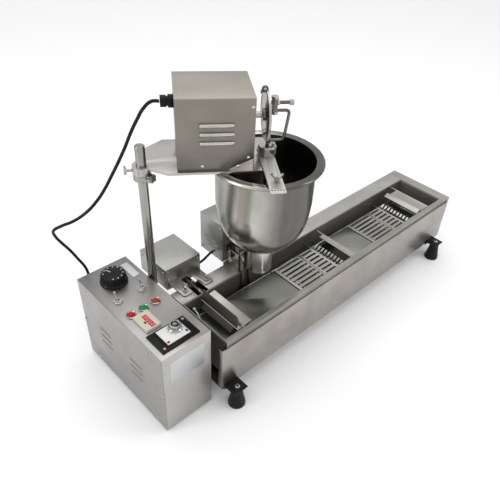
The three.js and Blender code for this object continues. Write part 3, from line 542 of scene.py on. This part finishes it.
def lathed(profile, place, axis=UP, steps=32):
    """A profile of radius and height in millimetres turned round an axis."""
    shape = bmesh.new()
    points = [shape.verts.new((radius, 0, height)) for radius, height in profile]
    lines = [shape.edges.new(pair) for pair in zip(points, points[1:])]
    bmesh.ops.spin(
        shape, geom=[*points, *lines], cent=(0, 0, 0), axis=(0, 0, 1), angle=math.tau, steps=steps,
        use_merge=True, use_duplicate=False,
    )
    bmesh.ops.remove_doubles(shape, verts=shape.verts, dist=MERGE_MILLIMETRES)
    bmesh.ops.recalc_face_normals(shape, faces=shape.faces)
    bmesh.ops.transform(shape, matrix=pointing(place, axis), verts=shape.verts)
    return shaded(shape)


# The wheel's long blade is a web folded along one edge. Its light strip and its dark web are painted light
# and painted shade on one steel, and a bright wire along the fold is a painted highlight.
WHEEL_X, WHEEL_Z = 78, 10
FOLD_X, FOLD_Z = WHEEL_X - 13, WHEEL_Z - 3.7
BLADE_LENGTH, BLADE_RISE = 40, 4.7
BLADE_Y0, BLADE_Y1 = 22, 151
lit_blade_strip = softened(box(1.5, BLADE_LENGTH - 0.2, BLADE_Y0 + 0.5, BLADE_Y1 - 0.5, 0.9, 1.25), 0.15, 1)
blade_tilt = Matrix.Rotation(-math.atan2(BLADE_RISE, BLADE_LENGTH), 4, "Y")
blade_place = Matrix.Translation((FOLD_X, 0, FOLD_Z)) @ blade_tilt
bmesh.ops.transform(lit_blade_strip, matrix=blade_place, verts=lit_blade_strip.verts)
placed("pusher_1_lit_blade_strip", lit_blade_strip, LIT_BLADE_STEEL, "pusher_1")
highlight_profile = [(0, 0), (1.7, 0), (1.7, BLADE_Y1 - BLADE_Y0), (0, BLADE_Y1 - BLADE_Y0)]
fold_highlight = lathed(highlight_profile, (FOLD_X, BLADE_Y0, FOLD_Z), (0, 1, 0), 12)
placed("pusher_1_fold_highlight", fold_highlight, LIT_BLADE_STEEL, "pusher_1")


# ---- Pusher drive and heater box ----
# A folded cover over the gear motor that turns the pushers stands on a folded plate. The plate's two ears are
# bolted to the deck, and beside it is the terminal box of the heating element.
def pan_screws(name, spots, axis, radius, look, body, frame_matrix=MACHINE):
    """Low round screw heads with a socket, all alike and facing along the axis."""
    head = [
        (0, -0.4), (radius, -0.4), (radius, radius * 0.4), (radius * 0.75, radius * 0.7),
        (radius * 0.45, radius * 0.75), (radius * 0.4, radius * 0.35), (0, radius * 0.35),
    ]
    heads = [lathed(head, spot, axis, 12) for spot in spots]
    return placed(name, together(*heads), look, body, frame_matrix)


def hex_nut(place, axis, radius, height):
    """A hexagon nut with its corners eased."""
    shape = bmesh.new()
    bmesh.ops.create_cone(
        shape, cap_ends=True, segments=6, radius1=radius, radius2=radius, depth=height,
        matrix=pointing(place, axis) @ Matrix.Translation((0, 0, height / 2)),
    )
    return softened(shape, radius * 0.06, 1)


def louvre(middle, size):
    """A pressed louvre hood, rounded at its ends, half sunk in its sheet."""
    x, y, z = middle
    width, depth, height = size
    hood = box(x - width / 2, x + width / 2, y - depth / 2, y + depth / 2, z - height / 2, z + height / 2)
    return softened(hood, min(size) * 0.45, 3)


DRIVE_STEEL = steel("drive_cover_steel", "satin_steel", (0.4, 0.4, 0.375), 0.33, (6, 6, 500), contrast=0.12)
HEATER_STEEL = steel("heater_box_steel", "satin_steel", (0.33, 0.33, 0.315), 0.33, (6, 6, 500), contrast=0.12)
DARK_STEEL = steel("machined_steel", "machined_steel", (0.3, 0.29, 0.27), 0.36, (300, 300, 300))
BLACK_PAINT = plain("black_paint", "black_paint", (0.006, 0.006, 0.006), 0.4)
ELEMENT_STEEL = steel(
    "element_steel", "element_steel", (0.34, 0.31, 0.28), 0.26, (60, 60, 1), depth=0.04, contrast=0.9,
)
CHROME = steel(
    "bright_chrome", "bright_chrome", (0.5, 0.49, 0.48), 0.1, (50, 50, 50), depth=0.02, contrast=0.05,
)
ZINC = steel("screw_zinc", "rod_steel", (0.6, 0.59, 0.56), 0.2, (90, 90, 90), depth=0.03, contrast=0.05)
refined("drive_cover", DRIVE_STEEL)
refined("drive_base", DECK_STEEL, 0.4)
refined("drive_bearing", BLACK_PAINT)
refined("drive_motor", DARK_STEEL)
refined("heater_box", HEATER_STEEL)
refined("heating_element", ELEMENT_STEEL, 0)
refined("heater_lead", CORD_BLACK, 0)
refined("sensor_capillary", ROD_STEEL, 0)

FRONT = (0, -1, 0)
LEFT = (-1, 0, 0)
COVER_SCREW = 2.6
DRIVE_LEFT, DRIVE_FRONT = 26.5, 232
drive_front_screws = [(x, DRIVE_FRONT, z) for z in (52, 31) for x in (34, 120)]
drive_side_screws = [(DRIVE_LEFT, y, z) for y, z in ((240, 50), (240, 15), (327, 50))]
pan_screws("drive_front_screws", drive_front_screws, FRONT, COVER_SCREW, ZINC, "frame")
pan_screws("drive_side_screws", drive_side_screws, LEFT, COVER_SCREW, ZINC, "frame")
pan_screws("bearing_screws", [(68, 209, 12), (84, 209, 12)], UP, 2.4, ZINC, "frame")
ear_tops = [(x, 185, 19.3) for x in (46, 108)]
placed("ear_nuts", together(*(hex_nut(top, UP, 6.8, 5.3) for top in ear_tops)), ZINC, "frame")
stud = [(0, 0), (3.7, 0), (3.7, 13), (3, 14), (0, 14)]
placed("ear_studs", together(*(lathed(stud, top, UP, 16) for top in ear_tops)), ZINC, "frame")

# On the terminal box: louvre hoods, a black plate as painted shade in an opening, and a flange that closes
# the gap below it.
HEATER_LEFT = 175
heater_hoods = [louvre((HEATER_LEFT, 250 - 8 * step, 70 - 10 * step), (3, 44, 4)) for step in range(3)]
placed("heater_louvres", together(*heater_hoods), HEATER_STEEL, "frame")
placed("heater_box_flange", softened(box(177, 283, 201.3, 203.7, 3, 24.8), 0.4), HEATER_STEEL, "frame")
placed("heater_opening_shade", softened(box(188, 217, 203.2, 204.2, 22, 73), 0.3), BLACK_PAINT, "frame")
heater_screws = [(HEATER_LEFT, y, z) for y, z in ((212, 35), (279, 35), (212, 122))]
pan_screws("heater_side_screws", heater_screws, LEFT, COVER_SCREW, ZINC, "frame")
pan_screws("element_screw", [(190, 198, 44)], FRONT, 4.6, CHROME, "frame")


# ---- Feet ----
# Four tapered feet of black rubber carry the trough. Each is on a stud through the ledge of a short angle,
# painted black and fixed to the front or rear wall.
FOOT_BLACK = plain("foot_black", "black_rubber", (0.005, 0.005, 0.005), 0.45)
FOOT_XS = (25, 847)
FOOT_REACH = 23
TROUGH_WIDTH = 201
LEDGE_TOP = -114
for number in (1, 2, 3, 4):
    refined(f"foot_bracket_{number}", BLACK_PAINT, 0.4)
    refined(f"foot_{number}", FOOT_BLACK)
foot_spots = [(x, y, LEDGE_TOP) for x in FOOT_XS for y in (-FOOT_REACH, TROUGH_WIDTH + FOOT_REACH)]
pan_screws("foot_screws", foot_spots, UP, 6.2, CHROME, "frame")


# ---- Control box ----
# A box folded from stainless sheet stands at the trough's left end. Its left side is a screwed panel with two
# groups of louvres, and two plates without lettering are fixed to its front and top.
def painted_light_bands(look, direction, start, end, stops):
    """Paints light and shade into a look as soft bands along a direction: stops are (share of the way,
    factor).
    """
    nodes, links = look.node_tree.nodes, look.node_tree.links
    shader = nodes["Principled BSDF"]
    clean = shader.inputs["Base Color"].links[0].from_socket
    across = nodes.new("ShaderNodeVectorMath")
    across.operation = "DOT_PRODUCT"
    across.inputs[1].default_value = direction
    links.new(in_object_space(nodes, links, (1, 1, 1)), across.inputs[0])
    share = nodes.new("ShaderNodeMapRange")
    share.inputs["From Min"].default_value = start
    share.inputs["From Max"].default_value = end
    links.new(across.outputs["Value"], share.inputs["Value"])
    ramp = nodes.new("ShaderNodeValToRGB")
    bands = ramp.color_ramp.elements
    while len(bands) < len(stops):
        bands.new(0.5)
    for band, (place, factor) in zip(bands, stops):
        band.position = place
        band.color = (factor / 2, factor / 2, factor / 2, 1)
    links.new(share.outputs["Result"], ramp.inputs["Fac"])
    double = nodes.new("ShaderNodeMath")
    double.operation = "MULTIPLY"
    double.inputs[1].default_value = 2
    links.new(ramp.outputs["Color"], double.inputs[0])
    scaled = nodes.new("ShaderNodeVectorMath")
    scaled.operation = "SCALE"
    links.new(clean, scaled.inputs[0])
    links.new(double.outputs["Value"], scaled.inputs["Scale"])
    links.new(scaled.outputs["Vector"], shader.inputs["Base Color"])


BOX_STEEL = steel(
    "box_steel", "satin_steel", (0.45, 0.435, 0.42), 0.36, (6, 500, 6), marked=0.92, contrast=0.06,
)
PANEL_STEEL = steel(
    "side_panel_steel", "satin_steel", (0.37, 0.36, 0.35), 0.36, (6, 6, 500), marked=0.92, contrast=0.06,
)
PLATE_SILVER = steel("plate_silver", "satin_steel", (0.6, 0.61, 0.62), 0.4, (40, 40, 40), contrast=0.03)
BOX_LEFT, BOX_FRONT = -141, 18.6
PANEL_TOP = 66.7
# Painted light and shade: the box's steel is lighter at the front and darker towards the back.
painted_light_bands(BOX_STEEL, (0, 1, 0), -0.13, 0.18, [(0, 1.12), (0.35, 1.0), (1, 0.58)])
refined("control_box", BOX_STEEL)
refined("control_side_panel", PANEL_STEEL, 0.3)
side_screws = [(299, 53), (327, -54), (286, -153), (65, 53), (22, -44), (48, -146)]
pan_screws("side_panel_screws", [(BOX_LEFT, y, z) for y, z in side_screws], LEFT, 2.8, ZINC, "frame")
side_hoods = [louvre((BOX_LEFT, y, z + 1.2), (2.4, 42, 3)) for y in (236, 119) for z in (-31, -52, -73)]
# Painted shade: the side louvre hoods are a darker, browner copy of the panel's steel.
SHADED_SIDE_HOOD_STEEL = steel("painted_shade_side_hood_steel", "satin_steel", (0.27, 0.25, 0.2), 0.34, (6, 500, 6), contrast=0.06)
placed("side_panel_louvres", together(*side_hoods), SHADED_SIDE_HOOD_STEEL, "frame")
front_plate = softened(box(-121, -35, BOX_FRONT - 0.6, BOX_FRONT + 0.1, -19, 45), 0.3)
placed("front_blank_plate", front_plate, PLATE_SILVER, "frame")
top_plate = softened(box(-43, -26, 256, 309, PANEL_TOP - 0.4, PANEL_TOP + 0.2), 0.25)
placed("top_blank_plate", top_plate, PLATE_SILVER, "frame")


# ---- Controls ----
# On the box's top: a thermostat knob with a scale, two toggles, three signal lamps, a meter and a timer. The
# marks are bars and ticks without figures.
KNOB_BLACK = plain("knob_black", "black_plastic", (0.004, 0.004, 0.0045), 0.28)
MARK_WHITE = plain("mark_white", "black_plastic", (0.8, 0.8, 0.8), 0.5)
BEIGE = plain("meter_beige", "beige_plastic", (0.56, 0.52, 0.42), 0.4)
KNOB = (-82, 273)
KNOB_TOP = PANEL_TOP + 22.3
MARK_HEIGHT = 0.35
SCALE_STEP = 30
refined("thermostat_knob", KNOB_BLACK, 0.6)


def radial_bar(centre, angle, inner, outer, z, width):
    """A flat bar that runs outwards from a centre at an angle in degrees."""
    bar = box(inner, outer, -width / 2, width / 2, z, z + MARK_HEIGHT)
    turn = Matrix.Translation((*centre, 0)) @ Matrix.Rotation(math.radians(angle), 4, "Z")
    bmesh.ops.transform(bar, matrix=turn, verts=bar.verts)
    return bar


def ribs_round(centre, z, reach, count, profile):
    """Small turned ribs, evenly spaced on a circle."""
    turns = [math.tau * step / count for step in range(count)]
    spots = [(centre[0] + reach * math.cos(turn), centre[1] + reach * math.sin(turn), z) for turn in turns]
    return together(*(lathed(profile, spot, UP, 8) for spot in spots))


scale_marks = [radial_bar(KNOB, SCALE_STEP * step - 120, 19.5, 22.5, KNOB_TOP, 1.5) for step in range(10)]
pointer = radial_bar(KNOB, 110, 7, 20, KNOB_TOP, 1.2)
placed("knob_marks", together(*scale_marks, pointer), MARK_WHITE, "knob")
grips = ribs_round(KNOB, PANEL_TOP + 5, 26.3, 24, [(0, 0), (1.8, 0), (1.5, 15), (0, 15)])
placed("knob_grips", grips, KNOB_BLACK, "knob")

LAMPS = {
    1: ("red", (0.42, 0.006, 0.014), (-114, 158)),
    2: ("green", (0.006, 0.2, 0.055), (-82.5, 159)),
    3: ("amber", (0.3, 0.045, 0.01), (-51.5, 160)),
}
for number, (colour, tone, (x, y)) in LAMPS.items():
    lens_look = plain(f"lamp_{colour}", f"lamp_{colour}", tone, 0.12)
    bezel = [(8.6, 0), (11.5, 0), (11.5, 2), (10.9, 3.6), (9.6, 4.2), (8.6, 3.4), (8.6, 0)]
    bezel_ring = placed(f"lamp_{number}_bezel", lathed(bezel, (x, y, PANEL_TOP)), CHROME, "frame")
    lens = [(0, 0.2), (8.2, 0.2), (8.2, 3.2), (7.4, 4.8), (5, 6.1), (0, 6.8)]
    dome = placed(f"lamp_{number}_lens", lathed(lens, (x, y, PANEL_TOP), steps=16), lens_look, "frame")
    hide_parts(f"lamp_{number}")
    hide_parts(f"lamp_{number}")

refined("meter_case", BEIGE, 1.6)
WINDOW_RED = plain("window_red", "lamp_red", (0.45, 0.01, 0.02), 0.15)
DIGIT_PINK = plain("digit_pink", "lamp_red", (0.9, 0.42, 0.42), 0.4)
METER_TOP = PANEL_TOP + 9
window = softened(box(-104.6, -93.9, 97.4, 134.1, METER_TOP - 1, METER_TOP + 0.2), 0.2)
placed("meter_window", window, WINDOW_RED, "frame")
DIGIT_X0, DIGIT_X1 = -102.6, -95.9
DIGIT_START, DIGIT_PITCH, DIGIT_WIDTH = 99.6, 8.4, 5.6
STROKE = 1
digit_bars = []
for step in range(4):
    low = DIGIT_START + DIGIT_PITCH * step
    high = low + DIGIT_WIDTH
    for x0, x1, y0, y1 in (
        (DIGIT_X0, DIGIT_X0 + STROKE, low, high), (DIGIT_X1 - STROKE, DIGIT_X1, low, high),
        (DIGIT_X0, DIGIT_X1, low, low + STROKE), (DIGIT_X0, DIGIT_X1, high - STROKE, high),
    ):
        digit_bars.append(box(x0, x1, y0, y1, METER_TOP, METER_TOP + 0.4))
placed("meter_digits", together(*digit_bars), DIGIT_PINK, "frame")
key = softened(box(-110, -106.5, 112, 118, METER_TOP - 1, METER_TOP + 0.6), 0.2)
placed("meter_key", key, KNOB_BLACK, "frame")

refined("timer_frame", KNOB_BLACK, 1.0)
FACE_WHITE = plain("timer_face", "clear_plastic", (0.7, 0.7, 0.69), 0.35)
FRAME_TOP = PANEL_TOP + 4
FACE_TOP = PANEL_TOP + 3.2
FACE_SUNK = FACE_TOP - 0.1
face = softened(box(-105.8, -50.2, 40.2, 84.8, FACE_TOP - 0.3, FACE_TOP), 0.1)
placed("timer_face", face, FACE_WHITE, "frame")
pan_screws("timer_screws", [(-117, 37, FRAME_TOP), (-42, 79, FRAME_TOP)], UP, 3, CHROME, "frame")
timer_lamp = softened(box(-104, -98, 44, 49, FACE_SUNK, FACE_TOP + 0.6), 0.2)
placed("timer_red_lamp", timer_lamp, WINDOW_RED, "frame")
timer_mark = softened(box(-56, -52, 46, 52, FACE_SUNK, FACE_TOP + 0.4), 0.1)
placed("timer_black_mark", timer_mark, KNOB_BLACK, "frame")
DIAL = (-68.6, 69)
timer_ticks = [radial_bar(DIAL, SCALE_STEP * step + 150, 16, 18.4, FACE_SUNK, 0.8) for step in range(9)]
placed("timer_ticks", together(*timer_ticks), KNOB_BLACK, "frame")
DIAL_CHROME = steel(
    "dial_chrome", "clear_plastic", (0.45, 0.45, 0.45), 0.12, (30, 30, 30), depth=0.02, contrast=0.05,
)
refined("timer_dial", DIAL_CHROME, 0.5)
dial_ribs = ribs_round(DIAL, FACE_TOP + 3.6, 11.2, 12, [(0, 0), (1.6, 0), (1.3, 8.5), (0, 8.5)])
placed("dial_ribs", dial_ribs, DIAL_CHROME, "dial")
dial_ring = [(5, 12.2), (8, 12.2), (8, 12.6), (5, 12.6), (5, 12.2)]
placed("dial_dark_ring", lathed(dial_ring, (*DIAL, FACE_TOP)), KNOB_BLACK, "dial")
SWITCHES = {1: (-50, 212), 2: (-112, 211)}
washer = [(0, 0), (11.6, 0), (11.6, 0.7), (0, 0.7)]
for number, (x, y) in SWITCHES.items():
    refined(f"switch_bezel_{number}", CHROME, 0.3)
    refined(f"switch_lever_{number}", CHROME, 0.3)
    placed(f"switch_washer_{number}", lathed(washer, (x, y, PANEL_TOP - 0.3)), CHROME, "frame")


# ---- Post, collar and arm ----
# A steel post stands behind the trough. A collar sets the arm's height and a thumbscrew locks its swing.
# Pieces of the head are placed along the arm, across it, and by their height over the trough's top edge.
POST_X, POST_Y = -4.5, 238.6
ARM_ANGLE = math.radians(-34.92)
ARM = MACHINE @ Matrix.Translation((POST_X, POST_Y, 0)) @ Matrix.Rotation(ARM_ANGLE, 4, "Z")
POST_STEEL = steel(
    "post_steel", "machined_steel", (0.33, 0.32, 0.3), 0.16, (60, 60, 0.8), depth=0.03, contrast=0.5,
)
ARM_STEEL = steel(
    "arm_steel", "machined_steel", (0.48, 0.47, 0.45), 0.26, (500, 6, 6),
    depth=0.03, marked=0.92, contrast=0.06,
)
refined("post", POST_STEEL, 0.6)
refined("post_bracket", DRIVE_STEEL)
refined("height_collar", POST_STEEL, 0.6)
refined("arm_plate", ARM_STEEL)
refined("thumbscrew", CHROME, 0.4)


# ---- Depositor motor ----
# A folded sheet cover with three louvre hoods stands on the arm over the gear motor. A black ribbed gland
# holds the cord where it leaves the cover.
COVER_STEEL = steel(
    "motor_cover_steel", "satin_steel", (0.3, 0.28, 0.245), 0.34, (8, 8, 500), marked=0.9, contrast=0.08,
)
COVER_FRONT = -31.3
COVER_BOTTOM, COVER_TOP = 0.52, 0.6622
# Painted light and shade: the cover is darker towards the bottom and lighter towards the top, with a painted
# highlight along its top edge.
painted_light_bands(COVER_STEEL, UP, COVER_BOTTOM, COVER_TOP, [(0, 0.6), (0.45, 0.8), (0.985, 0.95), (1, 1.35)])
refined("motor_cover", COVER_STEEL, 0.8)
# Painted light: the louvre hoods are a much lighter copy of the cover's steel, as if lit from above.
LIT_HOOD_STEEL = steel("painted_light_hood_steel", "satin_steel", (0.62, 0.6, 0.57), 0.2, (8, 8, 300), contrast=0.05)
cover_hoods = [louvre((143.5, COVER_FRONT, z + 2), (65.5, 10, 7.4)) for z in (438, 420.5, 402.5)]
placed("motor_cover_louvres", together(*cover_hoods), LIT_HOOD_STEEL, "arm", ARM)

# The cover's lower right corner stands a little off the arm, bent outwards below its screws. Its lighter,
# pinkish tone is a painted reflection.
FLAP_REFLECTION_STEEL = steel(
    "painted_reflection_flap_steel", "satin_steel", (0.55, 0.5, 0.46), 0.2, (8, 8, 300), depth=0.05, contrast=0.05,
)
FLAP_START, FLAP_LENGTH, FLAP_BOTTOM = 167, 46, 342
FLAP_LEFT_HEIGHT, FLAP_RIGHT_HEIGHT = 8, 28
FLAP_LIFT = 4.5
flap = bmesh.new()
bmesh.ops.create_grid(flap, x_segments=10, y_segments=5, size=0.5)
for corner in flap.verts:
    along, up = corner.co.x + 0.5, corner.co.y + 0.5
    lift = FLAP_LIFT * along * (1 - up) ** 2
    height = FLAP_LEFT_HEIGHT + (FLAP_RIGHT_HEIGHT - FLAP_LEFT_HEIGHT) * along
    corner.co = (FLAP_START + FLAP_LENGTH * along, COVER_FRONT - 0.4 - lift, FLAP_BOTTOM + height * up)
bmesh.ops.solidify(flap, geom=flap.faces, thickness=0.5)
for face in flap.faces:
    face.smooth = True
placed("motor_cover_flap", flap, FLAP_REFLECTION_STEEL, "arm", ARM)
# Painted shade: a thin black strip stands for the shade in the gap under the bent corner.
cover_gap_shade = softened(box(196, 213, COVER_FRONT - 0.3, COVER_FRONT, 340.5, 347), 0.1, 1)
placed("motor_cover_gap_shade", cover_gap_shade, KNOB_BLACK, "arm", ARM)
cover_spots = [(208.7, 473.7), (203.6, 373), (183.8, 355), (115.7, 357)]
cover_screws = [(u, COVER_FRONT, z) for u, z in cover_spots]
pan_screws("motor_cover_screws", cover_screws, FRONT, 2.8, ZINC, "arm", ARM)
refined("depositor_motor", DARK_STEEL)
refined("cord_gland", KNOB_BLACK, 0.4)
ALONG = (1, 0, 0)
GLAND_V, GLAND_Z = 10, 470
gland_rib = [(11, -0.9), (12.7, -0.6), (12.7, 0.6), (11, 0.9), (11, -0.9)]
gland_ribs = [lathed(gland_rib, (u, GLAND_V, GLAND_Z), ALONG, 24) for u in (60, 63.5, 67)]
placed("gland_ribs", together(*gland_ribs), KNOB_BLACK, "arm", ARM)
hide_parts("head_cord")
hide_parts("head_cord")


# ---- Crank, rod and plunger ----
# The gear motor turns a steel disc painted dark as a painted reflection, with a bright ring round its rim as
# a painted highlight. A bent rod hangs from its crank pin and lifts the plunger through a knurled bushing. A
# flat strap under a wing nut reaches over to the bowl's rim.
def knurled(radius, length, place, axis, ribs):
    """A cylinder with grooves along its side, from place along the axis."""
    shape = bmesh.new()
    bmesh.ops.create_cone(
        shape, cap_ends=True, segments=ribs, radius1=radius, radius2=radius, depth=length,
        matrix=pointing(place, axis) @ Matrix.Translation((0, 0, length / 2)),
    )
    sides = [face for face in shape.faces if len(face.verts) == 4]
    bmesh.ops.inset_individual(shape, faces=sides, thickness=radius * 0.03, depth=-radius * 0.05)
    return shape


# Painted reflection: the disc's steel is dark for the dark surroundings it reflects.
DARK_REFLECTION_DISC_STEEL = steel(
    "painted_reflection_disc_steel", "machined_steel", (0.15, 0.13, 0.118), 0.14, (300, 300, 300), depth=0.03, contrast=0.1,
)
RIM_STEEL = steel(
    "rim_steel", "machined_steel", (0.5, 0.48, 0.46), 0.16, (90, 90, 90), depth=0.03, contrast=0.1,
)
WIRE_STEEL = steel("wire_steel", "rod_steel", (0.17, 0.16, 0.148), 0.16, (200, 200, 200), contrast=0.1)
AXIS_U, AXIS_V = 249.8, 25.7
CRANK_Z = 433
DISC_U0, DISC_U1 = 241, 245.5
DISC_THICKNESS = DISC_U1 - DISC_U0
refined("crank_disc", DARK_REFLECTION_DISC_STEEL, 0.6)
# Painted highlight: a bright ring round the disc's rim.
rim = [(49.2, -0.2), (50.6, 0), (50.6, DISC_THICKNESS), (49.2, DISC_THICKNESS + 0.1), (49.2, -0.2)]
placed("crank_rim_highlight", lathed(rim, (DISC_U0, AXIS_V, CRANK_Z), ALONG, 64), RIM_STEEL, "crank", ARM)
crank_shaft = [(6, 0), (6.3, 0.4), (6.3, 17), (6, 17.4), (6, 0)]
placed("crank_shaft_sleeve", lathed(crank_shaft, (218, AXIS_V, CRANK_Z), ALONG, 24), RIM_STEEL, "crank", ARM)
EYE_Z, HOOK_Z = CRANK_Z + 51, CRANK_Z + 46
eye = [(2.9, -2.2), (5.8, -2.4), (6.4, -1.4), (6.4, 1.4), (5.8, 2.4), (2.9, 2.2), (2.9, -2.2)]
placed("crank_eye", lathed(eye, (DISC_U0 - 2, AXIS_V, EYE_Z), FRONT, 24), WIRE_STEEL, "crank", ARM)
hook = [(0, 0), (3.9, 0), (3.9, 2.6), (2.2, 3.2), (2.2, 10), (0, 10)]
hook_screw = lathed(hook, (DISC_U0 - 10.3, AXIS_V, HOOK_Z), ALONG, 16)
placed("crank_hook_screw", hook_screw, WIRE_STEEL, "crank", ARM)
refined("connecting_rod", WIRE_STEEL, 0.3)
ROD_U, ROD_SCREW_Z = 259, 457
rod_nuts = [hex_nut((ROD_U, AXIS_V, z), UP, 7.8, 5.6) for z in (434.2, 464.2)]
placed("rod_nuts", together(*rod_nuts), RIM_STEEL, "connecting_rod", ARM)
screw_grip = knurled(5.3, 8.4, (287.8, AXIS_V, ROD_SCREW_Z), ALONG, 20)
placed("rod_screw_grip", screw_grip, RIM_STEEL, "connecting_rod", ARM)
screw_nut = hex_nut((264, AXIS_V, ROD_SCREW_Z), ALONG, 6.2, 4)
placed("rod_screw_nut", screw_nut, RIM_STEEL, "connecting_rod", ARM)
refined("plunger", WIRE_STEEL, 0.4)
KNURL_BOTTOM, KNURL_HEIGHT, BUSHING_TOP = 352.5, 12.5, 368
refined("bushing", ARM_STEEL, 0.4)
bushing_knurl = knurled(18.9, KNURL_HEIGHT, (AXIS_U, AXIS_V, KNURL_BOTTOM), UP, 60)
placed("bushing_knurl", bushing_knurl, ARM_STEEL, "arm", ARM)
bushing_nut = hex_nut((AXIS_U + 12.5, AXIS_V, BUSHING_TOP), UP, 3.9, 4.2)
placed("bushing_nut", bushing_nut, RIM_STEEL, "arm", ARM)
WING_STEEL = steel("wing_nut_steel", "bright_chrome", (0.28, 0.27, 0.25), 0.2, (90, 90, 90), depth=0.03)
STRAP_STEEL = steel(
    "strap_steel", "tray_steel", (0.6, 0.59, 0.56), 0.42, (500, 6, 6), depth=0.03, marked=0.97, contrast=0.05,
)
refined("strap", STRAP_STEEL)
STRAP_TOP = 350
rivets = [(237 + 5.5 * step, -115.5, STRAP_TOP) for step in range(5)]
pan_screws("strap_rivets", rivets, UP, 1.7, DARK_STEEL, "arm", ARM)
refined("wing_nut", WING_STEEL, 0.4)


# ---- Hopper ----
# A spun bowl with a turned-out rim ends in a turned neck with a locking bolt. Painted reflections run round
# both as upright light and dark bands, from the rear left to the front right, and the bowl's strong upright
# grain streaks are painted reflections too.
BOWL_STEEL = steel(
    "bowl_steel", "bowl_steel", (0.33, 0.32, 0.295), 0.2, (26, 26, 0.6),
    depth=0.03, marked=0.75, contrast=0.7,
)
NECK_STEEL = steel(
    "neck_steel", "bowl_steel", (0.6, 0.585, 0.56), 0.32, (30, 30, 0.6), depth=0.03, contrast=0.3,
)
TO_FRONT_RIGHT = (0.69, -0.724, 0)
BOWL_REFLECTION_BANDS = [(0.08, 0.6), (0.22, 2), (0.38, 1.8), (0.53, 1.1), (0.7, 0.42), (1, 0.4)]
painted_light_bands(BOWL_STEEL, TO_FRONT_RIGHT, -0.195, 0.015, BOWL_REFLECTION_BANDS)
NECK_REFLECTION_BANDS = [(0.06, 0.55), (0.19, 0.35), (0.28, 1.5), (0.5, 1.1), (0.85, 0.85), (1, 0.45)]
painted_light_bands(NECK_STEEL, TO_FRONT_RIGHT, -0.12, -0.06, NECK_REFLECTION_BANDS)
refined("hopper", BOWL_STEEL, 0.4)
refined("hopper_neck", NECK_STEEL, 0.6)
